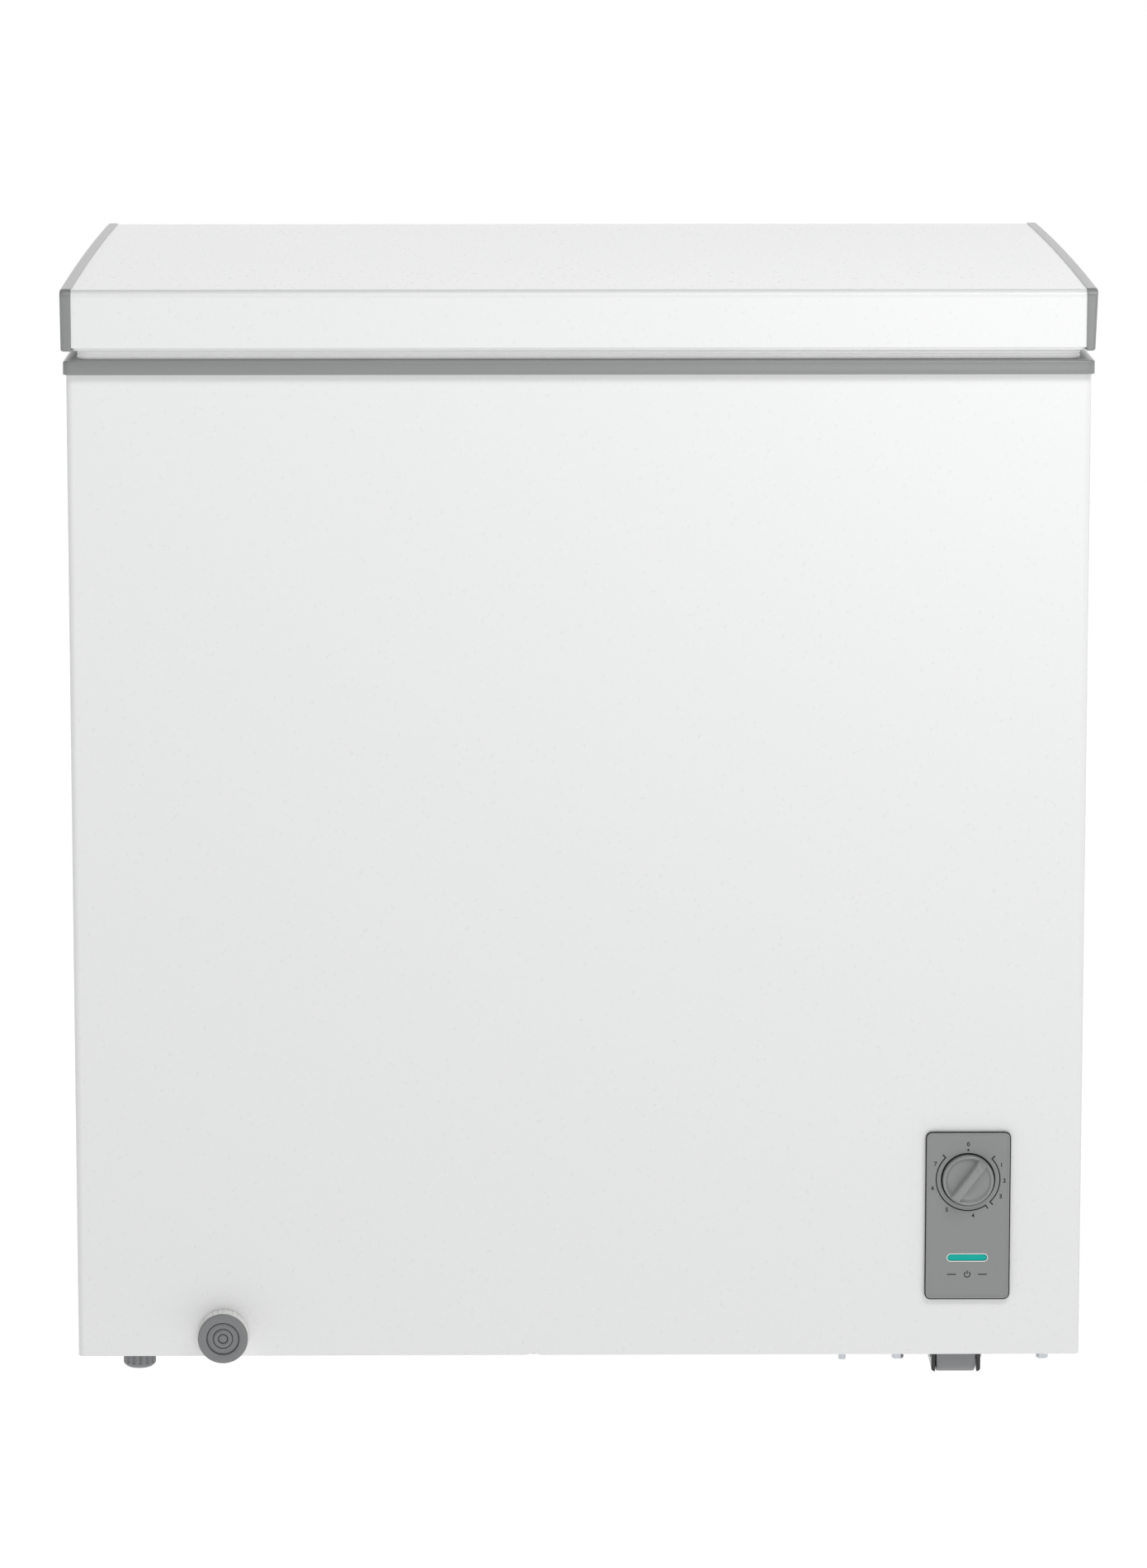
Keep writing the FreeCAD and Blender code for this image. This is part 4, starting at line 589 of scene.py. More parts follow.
# a power symbol under the lamp, between two dashes
mark = lamp_centre - Vector((0, 0, 13.3 * MM))
dash_half, stroke_half = 0.4 * MM, symbol_line / 2
for start, end in ((-15.5 * MM, -8.6 * MM), (8.4 * MM, 15.2 * MM)):
    inked([(start, -dash_half), (end, -dash_half), (end, dash_half), (start, dash_half)], mark)
arc_line(2.2 * MM, 34, 326, mark, symbol_line, 30)
inked([(-stroke_half, 0.3 * MM), (stroke_half, 0.3 * MM), (stroke_half, 3.0 * MM),
       (-stroke_half, 3.0 * MM)], mark)
mesh_piece("panel_print", print_points, print_faces, ink, "cabinet", "black_moulded_plastic", 30)

# printed figures: 0 at the top, then 1 to 7 round the scale
figure_height = 4.4 * MM
for figure, degrees, radius in (("0", 0, 27.8), ("1", 66, 28.0), ("2", 92, 28.0), ("3", 118, 28.6),
                                ("4", 172, 28.9), ("5", 214, 28.9), ("6", 256, 28.0), ("7", 296, 28.0)):
    written = bpy.data.curves.new("figure_" + figure, "FONT")
    written.body = figure
    written.size = figure_height
    written.align_x, written.align_y = "CENTER", "CENTER"
    written.extrude = ink_film / 2
    written.offset = 0.12 * MM
    loose = bpy.data.objects.new("figure_" + figure, written)
    bpy.context.scene.collection.objects.link(loose)
    bpy.context.view_layer.update()
    solid = bpy.data.meshes.new_from_object(loose.evaluated_get(bpy.context.evaluated_depsgraph_get()))
    bpy.data.objects.remove(loose)
    across, up = clockwise(radius * MM, degrees)
    solid.transform(Matrix.Translation((dial_centre.x + across, panel_face - ink_film, dial_centre.z + up))
                    @ Matrix.Rotation(math.pi / 2, 4, "X"))
    solid.materials.clear()
    solid.materials.append(ink)
    printed = bpy.data.objects.new("panel_figure_" + figure, solid)
    bpy.context.scene.collection.objects.link(printed)
    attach(printed, "cabinet")

# a soft raised border, and a dark rubber ring round the plate as painted shade, standing in for the shadow
# line in the gap
border = (panel_low.x, panel_high.x, panel_low.z, panel_high.z)
plate_corner = 4 * MM
raised = ((0.0, 0.9), (0.0, 0.25), (0.12, -0.05), (0.45, -0.28), (0.9, -0.36), (1.35, -0.3), (1.9, -0.08),
          (2.15, 0.02), (2.15, 0.9))
gap_shade_section = ((0.1, 1.5), (0.1, 0.4), (-0.8, 0.4), (-0.8, 1.5))
for name, section, material, slot, sharp_deg in (
    ("panel_border", raised, grey_abs, "grey_moulded_plastic", 60),
    # painted shade: a black ring in the gap round the plate
    ("panel_gap_shade_ring", gap_shade_section, rubber, "black_rubber", 30),
):
    rings = []
    for inset, depth in section:
        flat = rounded_ring(*border, inset * MM, plate_corner, plate_corner, 0)
        rings.append([(x, panel_face + depth * MM, z) for x, z, _ in flat])
    mesh_piece(name, *lofted(rings), material, "cabinet", slot, sharp_deg)


# ---------------------------------------------------------------- power lamp
# A clear tinted acrylic bar, snapped into its slot, with a shallow dome and rounded ends, in a
# thin raised surround of white polypropylene, which looks a little waxy.
white_pp, tree, shader = finish_named("moulded_polypropylene_white")
milky = put(tree, "ShaderNodeTexNoise", {"Vector": put(tree, "ShaderNodeTexCoord").outputs["Object"],
                                         "Scale": 1 / (6 * MM), "Detail": 2.0})
flowed = put(tree, "ShaderNodeMix",
             {"Factor": milky.outputs["Fac"], "A": srgb("#E2E2DF"), "B": srgb("#EDEDEB")},
             data_type="RGBA")
tree.links.new(flowed.outputs["Result"], shader.inputs["Base Color"])
shader.inputs["Roughness"].default_value = 0.38
shader.inputs["IOR"].default_value = 1.49
shader.inputs["Subsurface Weight"].default_value = 0.1
shader.inputs["Subsurface Radius"].default_value = (2 * MM, 2 * MM, 2 * MM)

# Teal acrylic: glossy, with a faint fixed teal emission as painted glow that stands in for light passing
# through the clear plastic.
teal_acrylic, tree, shader = finish_named("tinted_acrylic_teal")
glow = put(tree, "ShaderNodeTexNoise", {"Vector": put(tree, "ShaderNodeTexCoord").outputs["Object"],
                                        "Scale": 1 / (10 * MM), "Detail": 1.0})
tinted = put(tree, "ShaderNodeMix",
             {"Factor": glow.outputs["Fac"], "A": srgb("#009C90"), "B": srgb("#00AC9E")},
             data_type="RGBA")
tree.links.new(tinted.outputs["Result"], shader.inputs["Base Color"])
shader.inputs["Roughness"].default_value = 0.2
shader.inputs["IOR"].default_value = 1.49
shader.inputs["Specular IOR Level"].default_value = 0.2
# painted glow: a faint teal emission in place of light passing through the acrylic
shader.inputs["Emission Color"].default_value = srgb("#00B0A4")
shader.inputs["Emission Strength"].default_value = 0.14

half_length, half_height, seat = (lamp_high.x - lamp_low.x) / 2, (lamp_high.z - lamp_low.z) / 2, lamp_low.y


def slot_ring(inset, y):
    """Points round a bar with half-round ends, set in from the lamp's edge by inset."""
    radius = half_height - inset
    ring = []
    for side, start in ((1, -90), (-1, 90)):
        for k in range(13):
            angle = math.radians(start + 15 * k)
            ring.append((lamp_centre.x + side * (half_length - half_height) + radius * math.cos(angle), y,
                         lamp_centre.z + radius * math.sin(angle)))
    return ring


dome = ((0, 4.0), (0, 0.55), (0.12, 0.3), (0.45, 0.12), (1.0, 0.04), (1.7, 0.0), (2.4, 0.0))
points, faces = filled_loft([slot_ring(inset * MM, seat + depth * MM) for inset, depth in dome])
lamp_bar = mesh_piece("lamp_bar", points, faces, teal_acrylic, "cabinet", "teal_lens", 50)
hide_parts("power_light_lens")
lip = ((-0.05, 0.6), (-0.05, -0.1), (-0.35, -0.18), (-0.7, -0.1), (-0.75, 0.6))
points, faces = lofted([slot_ring(inset * MM, panel_face + depth * MM) for inset, depth in lip])
mesh_piece("lamp_surround", points, faces, white_pp, "cabinet", "white_moulded_plastic", 60)


# ---------------------------------------------------------------- thermostat knob
# Moulded grey ABS: a dished disc with a rounded rim, and a tapered grip bar right across it whose
# pointing end slopes down and carries a small raised triangle.
knob_grey, tree, shader = finish_named("moulded_abs_grey_satin")
where = put(tree, "ShaderNodeTexCoord").outputs["Object"]
speck = put(tree, "ShaderNodeTexNoise", {"Vector": where, "Scale": 1 / (0.8 * MM), "Detail": 2.0})
shades = put(tree, "ShaderNodeMix",
             {"Factor": speck.outputs["Fac"], "A": srgb("#8E8F8F"), "B": srgb("#969797")},
             data_type="RGBA")
tree.links.new(shades.outputs["Result"], shader.inputs["Base Color"])
fine = put(tree, "ShaderNodeBump", {"Strength": 0.12, "Distance": 0.03 * MM, "Height": speck.outputs["Fac"]})
tree.links.new(fine.outputs["Normal"], shader.inputs["Normal"])
shader.inputs["Roughness"].default_value = 0.26
shader.inputs["IOR"].default_value = 1.53

knob_radius = (knob_high.x - knob_low.x) / 2
knob_back, grip_front = knob_high.y, knob_low.y
pointing = math.radians(37)
dish = [(5.2, 0.7), (5.2, 0), (18.6, 0), (19.5, 0.3), (19.7, 0.9), (19.7, 4.6), (19.6, 5.3),
        (19.3, 5.9), (18.8, 6.35), (18.2, 6.5), (17.6, 6.35), (17.1, 5.9), (16.7, 5.35), (16.1, 4.9),
        (15.0, 4.6), (12.0, 4.3), (8.0, 4.05), (4.0, 3.95), (0, 3.9)]
dish_radius = 19.7
profile = [(0, 0.7 * MM, 0)] + [(r * knob_radius / dish_radius, h * MM, 0) for r, h in dish]
knob_disc = turned_piece("knob_disc", profile, (dial_centre.x, knob_back, dial_centre.z), (0, -1, 0),
                         knob_grey, "knob", "grey_moulded_plastic", steps=120)
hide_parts("thermostat_knob")

# the grip bar, in cross-sections along it: it slopes down at both ends and widens towards them
grip_rise = knob_back - grip_front
grip_points, grip_faces = [], []
grip_foot, slope_start, slope_length, slope_fall = 3.4, 14.8, 4.4, 5.2
stations = [-19.2, -19.0, -18.4, -17.6, -16.4, -14.8, -12.0, -6.0, 0.0, 6.0, 12.0, 14.6, 15.6, 16.4,
            17.4, 18.4, 19.0, 19.2]
for s in stations:
    reach = abs(s)
    drop = 0.0 if reach < slope_start else slope_fall * ((reach - slope_start) / slope_length) ** 1.7
    top = grip_rise / MM - drop
    base, ridge = 3.95, 2.95 + 0.35 * max(0.0, reach - 10) / 9
    section = [(-base, grip_foot), (-ridge - 0.12, top - 0.62), (-ridge + 0.08, top - 0.22),
               (-ridge + 0.5, top), (ridge - 0.5, top), (ridge - 0.08, top - 0.22),
               (ridge + 0.12, top - 0.62), (base, grip_foot)]
    for across, lift in section:
        grip_points.append(Vector((across * MM, -lift * MM, s * MM)))
around = 8
for k in range(len(stations) - 1):
    a, b = k * around, (k + 1) * around
    grip_faces += [(a + i, a + (i + 1) % around, b + (i + 1) % around, b + i) for i in range(around)]
grip_faces += [tuple(range(around)), tuple(b + i for i in reversed(range(around)))]
spin = Matrix.Translation((dial_centre.x, knob_back, dial_centre.z)) @ Matrix.Rotation(pointing, 4, "Y")
mesh_piece("knob_grip", [spin @ p for p in grip_points], grip_faces, knob_grey, "knob",
           "grey_moulded_plastic", 42)

# painted shade: a dark rubber ring in the gap round the knob, standing in for the shadow in the recess
gap_wall, gap_edge = knob_radius + 0.12 * MM, knob_radius + 1.18 * MM
gap_shade_profile = [(gap_wall, 0.5 * MM, 0), (gap_edge, 0.5 * MM, 0), (gap_edge, 1.6 * MM, 0), (gap_wall, 1.6 * MM, 0)]
turned_piece("knob_gap_shade_ring", gap_shade_profile + gap_shade_profile[:1], tuple(dial_centre), (0, 1, 0), rubber, "cabinet",
             "black_rubber")

# the small raised triangle, in outline, near the pointing end of the grip bar
arrow_points, arrow_faces = [], []
top = grip_rise / MM
arrow_outside = [(-1.9, 10.6), (1.9, 10.6), (0.0, 14.2)]
arrow_inside = [(-0.85, 11.25), (0.85, 11.25), (0.0, 12.75)]
for lift in (top - 0.5, top + 0.25):
    arrow_points += [Vector((a * MM, -lift * MM, b * MM)) for a, b in arrow_outside + arrow_inside]
for i in range(3):
    j = (i + 1) % 3
    arrow_faces += [(i, j, 6 + j, 6 + i), (3 + i, 9 + i, 9 + j, 3 + j),
                    (6 + i, 6 + j, 9 + j, 9 + i), (i, 3 + i, 3 + j, j)]
mesh_piece("knob_arrow", [spin @ p for p in arrow_points], arrow_faces, knob_grey, "knob",
           "grey_moulded_plastic", 30)


# ---------------------------------------------------------------- drain
# White polypropylene tube, outlet and plug. The cap has a white ribbed skirt for the fingers and a
# grey face, stepped, with a raised ring in the middle.
dress(white_pp, "drain_outlet", "drain_tube", "drain_spout", "drain_plug")

cap_low, cap_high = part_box("drain_dial")
cap_radius, cap_length = (cap_high.z - cap_low.z) / 2, cap_high.y - cap_low.y
face = [(0, 1.1), (2.7, 1.1), (3.1, 1.3), (3.3, 2.7), (3.7, 2.7), (3.9, 1.0), (4.4, 0.45), (5.0, 0.16),
        (5.5, 0.1), (6.0, 0.16), (6.6, 0.45), (7.1, 1.0), (7.3, 2.7), (7.7, 2.7), (7.9, 1.35),
        (11.6, 1.35), (11.9, 1.5), (12.0, 2.8), (12.6, 2.8), (12.7, 0.5), (12.95, 0.12), (13.3, 0.0),
        (18.3, 0.0), (18.8, 0.12), (19.2, 0.5)]
cap_middle = ((cap_low.x + cap_high.x) / 2, cap_low.y, (cap_low.z + cap_high.z) / 2)
cap_ribs, seam = 30, 3.2 * MM
profile = [(r * MM, h * MM, 0) for r, h in face]
profile += [(cap_radius - 0.35 * MM, 1.1 * MM, 0), (cap_radius - 0.3 * MM, seam, 0), (15.0 * MM, seam, 0),
            (15.0 * MM, 5.0 * MM, 0), (0, 5.0 * MM, 0)]
turned_piece("drain_cap_face", profile, cap_middle, (0, 1, 0), grey_pp, "drain_dial", "grey_moulded_plastic",
             steps=180)
profile = [(15.1 * MM, seam + 0.1 * MM, 0), (cap_radius - 0.7 * MM, seam + 0.1 * MM, 0),
           (cap_radius - 0.1 * MM, seam + 0.5 * MM, 0.1 * MM),
           (cap_radius, seam + 1.2 * MM, 0.6 * MM), (cap_radius, cap_length - 0.9 * MM, 0.65 * MM),
           (cap_radius - 0.15 * MM, cap_length - 0.3 * MM, 0.5 * MM), (cap_radius - 0.6 * MM, cap_length, 0)]
hollow = [(16.9, 16.0), (16.5, 15.6), (16.5, 6.0), (11.0, 6.0), (11.0, 12.8), (8.1, 12.8), (8.1, 8.1),
          (0, 8.1), (0, 5.1), (15.1, 5.1)]
profile += [(r * MM, h * MM, 0) for r, h in hollow]
profile.append(profile[0])
drain_cap = turned_piece("drain_cap_skirt", profile, cap_middle, (0, 1, 0), white_pp, "drain_dial",
                         "white_moulded_plastic", steps=cap_ribs * 8, flutes=cap_ribs)
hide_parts("drain_dial")


# ---------------------------------------------------------------- lid panel
# One sheet of the same white steel, folded down at the front and back with a soft bend and
# slightly crowned across its depth, with its ends tucked under the end caps.
panel_box_low, panel_box_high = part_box("lid_outer_panel")
bend_radius, crown, gauge, tuck = 6 * MM, 2.5 * MM, 0.8 * MM, 12 * MM


def lid_outline(y0, y1, crest, bottom, inset, toe):
    """Points (y, z) up the front, over the crown and down the back, set in by inset."""
    y0, y1, crest, bottom = y0 + inset, y1 - inset, crest - inset, bottom + inset
    shoulder, radius, toe = crest - crown, bend_radius - inset, max(toe - inset, 0.15 * MM)
    half_span = (y1 - y0) / 2 - radius
    lean = math.atan2(2 * crown, half_span)
    middle_y = (y0 + y1) / 2
    front = [(y0, bottom + toe + 0.6 * MM), (y0, (bottom + shoulder) / 2), (y0, shoulder - radius - 0.8 * MM)]
    bend = [(y0 + radius * (1 - math.cos(a)), shoulder - radius * (1 - math.sin(a)))
            for a in (k / 10 * (math.pi / 2 - lean) for k in range(11))]
    start_y, start_z = bend[-1]
    over = []
    for k in range(23):
        y = start_y + 0.6 * MM + 2 * (middle_y - start_y - 0.6 * MM) * k / 22
        t = (y - middle_y) / (middle_y - start_y)
        over.append((y, start_z + (crest - start_z) * (1 - t * t)))
    left = [(y0, bottom + toe)] + front + bend
    right = [(y0 + y1 - y, z) for y, z in reversed(left)]
    corner_front = [(y0 + toe * (1 - math.cos(a)), bottom + toe * (1 - math.sin(a)))
                    for a in (math.radians(18 * k) for k in range(5, 0, -1))]
    corner_back = [(y0 + y1 - y, z) for y, z in reversed(corner_front)]
    return corner_front + left + over + right + corner_back


sheet_toe, end_step = 0.4 * MM, 1 * MM
outside, inside = (lid_outline(panel_box_low.y, panel_box_high.y, panel_box_high.z, panel_box_low.z,
                               inset, sheet_toe)
                   for inset in (0, gauge))
outside = [(outside[0][0] + tuck, outside[0][1])] + outside + [(outside[-1][0] - tuck, outside[-1][1])]
inside = [(inside[0][0] + tuck - gauge, inside[0][1])] + inside + [
    (inside[-1][0] - tuck + gauge, inside[-1][1])]
section = outside + inside[::-1]
x_steps = [panel_box_low.x, panel_box_low.x + end_step, 0.0, panel_box_high.x - end_step, panel_box_high.x]
points = [(x, y, z) for x in x_steps for y, z in section]
count, turn = len(section), len(outside)
faces = []
for r in range(len(x_steps) - 1):
    a, b = r * count, (r + 1) * count
    faces += [(a + i, a + (i + 1) % count, b + (i + 1) % count, b + i) for i in range(count)]
for first in (0, (len(x_steps) - 1) * count):
    faces += [(first + i, first + i + 1, first + count - 2 - i, first + count - 1 - i)
              for i in range(turn - 1)]
lid_skin = mesh_piece("lid_skin", points, faces, white_paint, "lid", "white_painted_steel", 50)
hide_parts("lid_outer_panel")


# ---------------------------------------------------------------- lid end caps
# Grey ABS mouldings glued over the ends of the lid. Each stands a little proud of the sheet,
# with rounded outer edges, and its outer face leans in towards the bottom for the mould.
cap_round, cap_toe = 2.4 * MM, 1.6 * MM
for side_name, side, cap_lean in (("left", -1, 0.5 * MM), ("right", 1, 1.9 * MM)):
    cad = "lid_end_cap_" + side_name
    low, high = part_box(cad)
    inner_x = high.x if side < 0 else low.x
    outer_x = low.x if side < 0 else high.x
    reach = abs(outer_x - inner_x)
    rings = []
    for inset, back_off in ((1.2 * MM, reach), (0.25 * MM, reach), (0.05 * MM, reach - 0.15 * MM),
                            (0.0, reach - 0.5 * MM), (0.0, cap_round + 0.6 * MM), (0.0, cap_round),
                            (0.1 * MM, cap_round * 0.62), (0.42 * MM, cap_round * 0.3),
                            (0.95 * MM, cap_round * 0.09), (1.6 * MM, cap_round * 0.01),
                            (2.4 * MM, 0.0), (3.4 * MM, 0.0)):
        ring = []
        for y, z in lid_outline(low.y, high.y, high.z, low.z, inset, cap_toe):
            lean = cap_lean * (high.z - z) / (high.z - low.z) if back_off < reach / 2 else 0.0
            ring.append((outer_x - side * (back_off + lean), y, z))
        rings.append(ring)
    lid_cap = mesh_piece("lid_cap_" + side_name, *filled_loft(rings), grey_abs, "lid",
                         "grey_moulded_plastic", 50)
    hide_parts(cad)


# ---------------------------------------------------------------- lid lining
# Glossy white high-impact polystyrene, vacuum-formed: a flat flange that carries the gasket, a
# deep tray that drops into the mouth of the tub, and a raised field in the middle.
polystyrene, tree, shader = finish_named("vacuum_formed_polystyrene_white")
pulled = put(tree, "ShaderNodeTexNoise", {"Vector": put(tree, "ShaderNodeTexCoord").outputs["Object"],
                                          "Scale": 1 / (35 * MM), "Detail": 2.0})
stretched = put(tree, "ShaderNodeMix",
                {"Factor": pulled.outputs["Fac"], "A": srgb("#E6E7E7"), "B": srgb("#EDEDED")},
                data_type="RGBA")
tree.links.new(stretched.outputs["Result"], shader.inputs["Base Color"])
ripple = put(tree, "ShaderNodeBump",
             {"Strength": 0.25, "Distance": 0.4 * MM, "Height": pulled.outputs["Fac"]})
tree.links.new(ripple.outputs["Normal"], shader.inputs["Normal"])
shader.inputs["Roughness"].default_value = 0.24
shader.inputs["IOR"].default_value = 1.59
low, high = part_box("lid_liner")
spread, lining_wall, lining_corner = shelf - 4 * MM, 2 * MM, 4 * MM      # the tray is wider than the mouth
tray = (mouth[0] - spread, mouth[1] + spread, mouth[2] - spread, mouth[3] + spread)
flange_face, tray_bottom = high.z - lining_wall, low.z
edges = (low.x, high.x, low.y, high.y)
rings = [rounded_ring(*edges, inset, lining_corner, lining_corner, z)
         for inset, z in ((0, high.z), (0, flange_face + 0.4 * MM), (0.5 * MM, flange_face))]
for inset, z in ((-2.4, flange_face), (-1.2, flange_face - 0.15 * MM), (-0.35, flange_face - 0.7 * MM),
                 (0, flange_face - 1.8 * MM), (0.4, tray_bottom + 3.0 * MM), (1.3, tray_bottom + 1.2 * MM),
                 (2.8, tray_bottom + 0.25 * MM), (5.0, tray_bottom), (38, tray_bottom),
                 (39, tray_bottom + 0.08 * MM), (40.5, tray_bottom + 0.38 * MM),
                 (42, tray_bottom + 0.68 * MM), (43, tray_bottom + 0.76 * MM), (60, tray_bottom + 0.76 * MM)):
    rings.append(rounded_ring(*tray, inset * MM, mouth_corner, mouth_corner, z))
lining = mesh_piece("lid_lining_tray", *filled_loft(rings), polystyrene, "lid", "white_moulded_plastic", 50)
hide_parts("lid_liner")


# ---------------------------------------------------------------- gasket
# Soft light grey PVC extrusion, mitred at the corners, with bellows folds in its sides that let
# it close on the collar under the pull of the magnet strip inside.
soft_pvc, tree, shader = finish_named("extruded_soft_pvc_light_grey")
where = put(tree, "ShaderNodeTexCoord").outputs["Object"]
handled = put(tree, "ShaderNodeTexNoise", {"Vector": where, "Scale": 1 / (40 * MM), "Detail": 3.0})
greys = put(tree, "ShaderNodeMix",
            {"Factor": handled.outputs["Fac"], "A": srgb("#ECECEC"), "B": srgb("#F4F4F4")},
            data_type="RGBA")
tree.links.new(greys.outputs["Result"], shader.inputs["Base Color"])
soft = put(tree, "ShaderNodeBump", {"Strength": 0.5, "Distance": 0.8 * MM, "Height": handled.outputs["Fac"]})
tree.links.new(soft.outputs["Normal"], shader.inputs["Normal"])
shader.inputs["Roughness"].default_value = 0.24
# Painted light: the gasket is given a white emission so that it stays bright in the shade under the lid.
shader.inputs["Emission Color"].default_value = (1, 1, 1, 1)
shader.inputs["Emission Strength"].default_value = 0.17      # painted glow: a fixed white emission that lifts the gasket out of the shade under the lid
shader.inputs["Subsurface Weight"].default_value = 0.15
shader.inputs["Subsurface Radius"].default_value = (1.5 * MM, 1.5 * MM, 1.5 * MM)
low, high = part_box("lid_gasket")
seal_width, seal_corner = 16 * MM, 10 * MM
seal = (low.x, high.x, low.y, high.y)
tall = high.z - low.z
side_profile = [(0.9, 0.0), (0.4, 0.05), (0.1, 0.13), (0.0, 0.22), (0.12, 0.3), (0.5, 0.36),
                (0.85, 0.4), (0.5, 0.44), (0.12, 0.5), (0.0, 0.58), (0.12, 0.66), (0.5, 0.72),
                (1.2, 0.78), (2.4, 0.83), (3.0, 0.9), (3.0, 1.0)]
rings = [rounded_ring(*seal, inset * MM, seal_corner, seal_corner, low.z + t * tall)
         for inset, t in side_profile]
rings += [rounded_ring(*seal, seal_width - inset * MM, seal_corner, seal_corner, low.z + t * tall)
          for inset, t in reversed(side_profile)]
points, faces = lofted(rings)
bellows = mesh_piece("gasket_bellows", points, faces, soft_pvc, "lid", "gasket_vinyl", 60)
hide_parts("lid_gasket")


# ---------------------------------------------------------------- hinges
# Pressed steel housings screwed to the back, and steel arms screwed to the lid, all painted white.
# A cam under each arm pushes a nylon plunger down on a wound spring as the lid is shut.
hinge_paint, tree, shader = finish_named("painted_pressed_steel_white")
run = put(tree, "ShaderNodeTexNoise", {"Vector": put(tree, "ShaderNodeTexCoord").outputs["Object"],
                                       "Scale": 1 / (3 * MM), "Detail": 2.0})
coat = put(tree, "ShaderNodeMix", {"Factor": run.outputs["Fac"], "A": srgb("#DFE0E0"), "B": srgb("#E8E8E8")},
           data_type="RGBA")
tree.links.new(coat.outputs["Result"], shader.inputs["Base Color"])
peeled = put(tree, "ShaderNodeBump", {"Strength": 0.2, "Distance": 0.08 * MM, "Height": run.outputs["Fac"]})
tree.links.new(peeled.outputs["Normal"], shader.inputs["Normal"])
shader.inputs["Roughness"].default_value = 0.35
dress(hinge_paint, "hinge_housing_left", "hinge_housing_right", "hinge_arm_left", "hinge_arm_right")
dress(plating, "hinge_spring_left", "hinge_spring_right")


# ---------------------------------------------------------------- basket
# Steel wire dipped in white PVC: a thick rim, four lighter hoops, and U-shaped wires both ways
# underneath, welded where they cross. Two flat hangers bend over the shelf of the collar.
dipped_wire, tree, shader = finish_named("pvc_dipped_wire_white")
drips = put(tree, "ShaderNodeTexNoise", {"Vector": put(tree, "ShaderNodeTexCoord").outputs["Object"],
                                         "Scale": 1 / (8 * MM), "Detail": 1.0})
whites = put(tree, "ShaderNodeMix",
             {"Factor": drips.outputs["Fac"], "A": srgb("#E9E9E8"), "B": srgb("#F2F2F1")},
             data_type="RGBA")
tree.links.new(whites.outputs["Result"], shader.inputs["Base Color"])
shader.inputs["Roughness"].default_value = 0.28
shader.inputs["IOR"].default_value = 1.52


def bent(corners, radius, closed=False):
    """Points along straight runs with a round bend of the given radius at each corner."""
    corners = [Vector(c) for c in corners]
    last = len(corners)
    route = [] if closed else [corners[0]]
    for k in range(0 if closed else 1, last if closed else last - 1):
        before, at, after = corners[k - 1], corners[k], corners[(k + 1) % last]
        away, onward = (before - at).normalized(), (after - at).normalized()
        half_angle = away.angle(onward) / 2
        reach = radius / math.tan(half_angle)
        hub = at + (away + onward).normalized() * radius / math.sin(half_angle)
        first, second = at + away * reach - hub, at + onward * reach - hub
        for s in range(7):
            route.append(hub + first.normalized().slerp(second.normalized(), s / 6) * radius)
    return route if closed else route + [corners[-1]]


def wire_piece(name, routes, radius):
    """Bent wires as one curve object with a round section."""
    curve = bpy.data.curves.new(name, "CURVE")
    curve.dimensions = "3D"
    curve.bevel_depth = radius
    curve.bevel_resolution = 3
    curve.use_fill_caps = True
    for route, closed in routes:
        run = curve.splines.new("POLY")
        run.points.add(len(route) - 1)
        for point, place in zip(run.points, route):
            point.co = (*place, 1)
        run.use_cyclic_u = closed
    loose = bpy.data.objects.new(name, curve)
    bpy.context.scene.collection.objects.link(loose)
    bpy.context.view_layer.update()
    solid = bpy.data.meshes.new_from_object(loose.evaluated_get(bpy.context.evaluated_depsgraph_get()))
    bpy.data.objects.remove(loose)
    solid.materials.clear()
    solid.materials.append(dipped_wire)
    solid.shade_smooth()
    piece = bpy.data.objects.new(name, solid)
    bpy.context.scene.collection.objects.link(piece)
    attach(piece, "basket")
    return piece


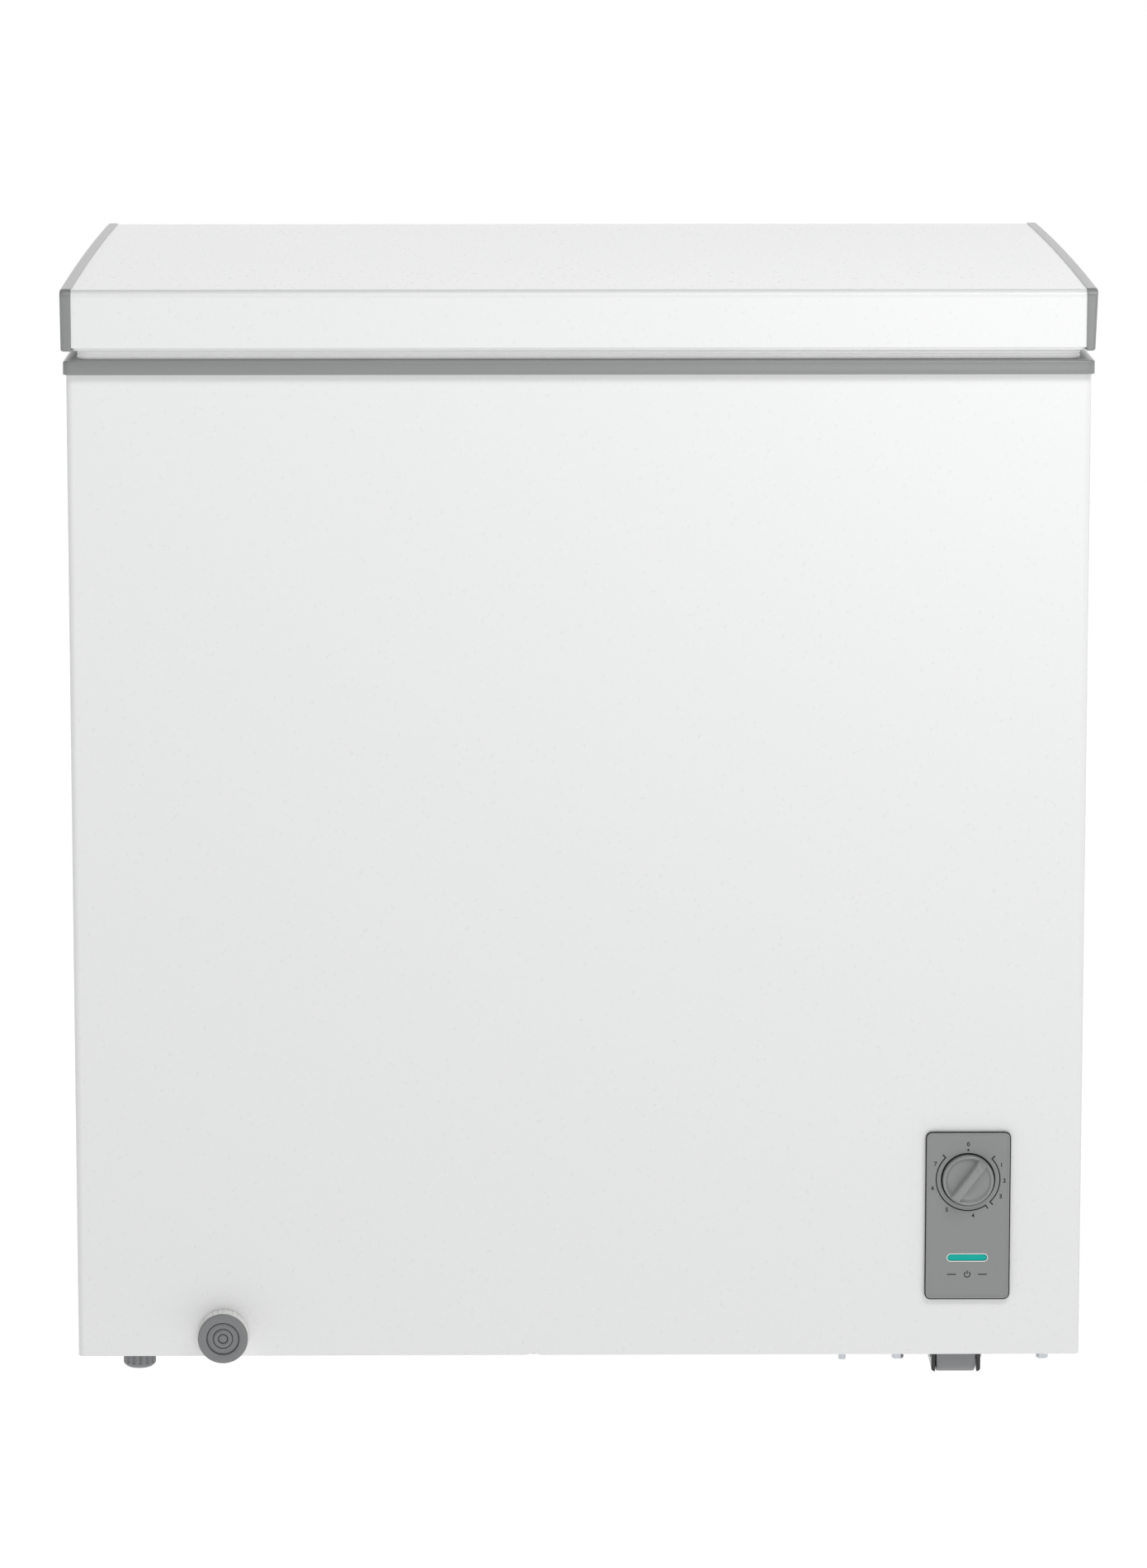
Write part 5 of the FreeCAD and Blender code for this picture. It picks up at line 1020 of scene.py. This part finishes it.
low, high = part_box("wire_basket")
rim_wire, hoop_wire, mesh_wire = 2.2 * MM, 1.5 * MM, 1.25 * MM
hanger_reach = 19 * MM
y_front, y_back = mouth[2] + 6 * MM, mouth[3] - 6 * MM
x_left, x_right, z_top, z_bottom = low.x, high.x, high.z, low.z


def hoop(z, inset, radius):
    """A closed rectangular hoop at one level, set in from the basket's outside."""
    return bent([(x_left + inset, y_front + inset, z), (x_right - inset, y_front + inset, z),
                 (x_right - inset, y_back - inset, z), (x_left + inset, y_back - inset, z)], radius, True)


wire_piece("basket_rim", [(hoop(z_top - rim_wire, rim_wire, 17 * MM), True)], rim_wire)
hoop_levels = [z_bottom + 8 * MM + k * (z_top - z_bottom - 12 * MM) / 5 for k in range(5)]
wire_piece("basket_hoops", [(hoop(z, 2 * mesh_wire + hoop_wire, 15 * MM), True) for z in hoop_levels],
           hoop_wire)

# U-shaped wires: columns run front to back, and rows run from side to side under them
columns, rows, first_wire, wire_bend = 9, 19, 24 * MM, 9 * MM
wire_top = z_top - 2 * rim_wire
wires = []
for k in range(columns):
    x = x_left + first_wire + k * (x_right - x_left - 2 * first_wire) / (columns - 1)
    a, b, floor_z = y_front + mesh_wire, y_back - mesh_wire, z_bottom + 3 * mesh_wire
    wires.append((bent([(x, a, wire_top), (x, a, floor_z), (x, b, floor_z), (x, b, wire_top)], wire_bend),
                  False))
for k in range(rows):
    y = y_front + first_wire + k * (y_back - y_front - 2 * first_wire) / (rows - 1)
    a, b, floor_z = x_left + mesh_wire, x_right - mesh_wire, z_bottom + mesh_wire
    wires.append((bent([(a, y, wire_top), (a, y, floor_z), (b, y, floor_z), (b, y, wire_top)], wire_bend),
                  False))
basket_mesh = wire_piece("basket_mesh", wires, mesh_wire)

hangers = []
hanger_left, hanger_right, level = x_left + 26 * MM, x_right - 26 * MM, z_top - rim_wire
for y_edge, outward in ((y_front, -1), (y_back, 1)):
    weld, out = y_edge - outward * rim_wire, y_edge + outward * (hanger_reach - rim_wire)
    hangers.append((bent([(hanger_left, weld, level), (hanger_left, out, level),
                          (hanger_right, out, level), (hanger_right, weld, level)], wire_bend), False))
wire_piece("basket_hangers", hangers, rim_wire)
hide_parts("wire_basket")
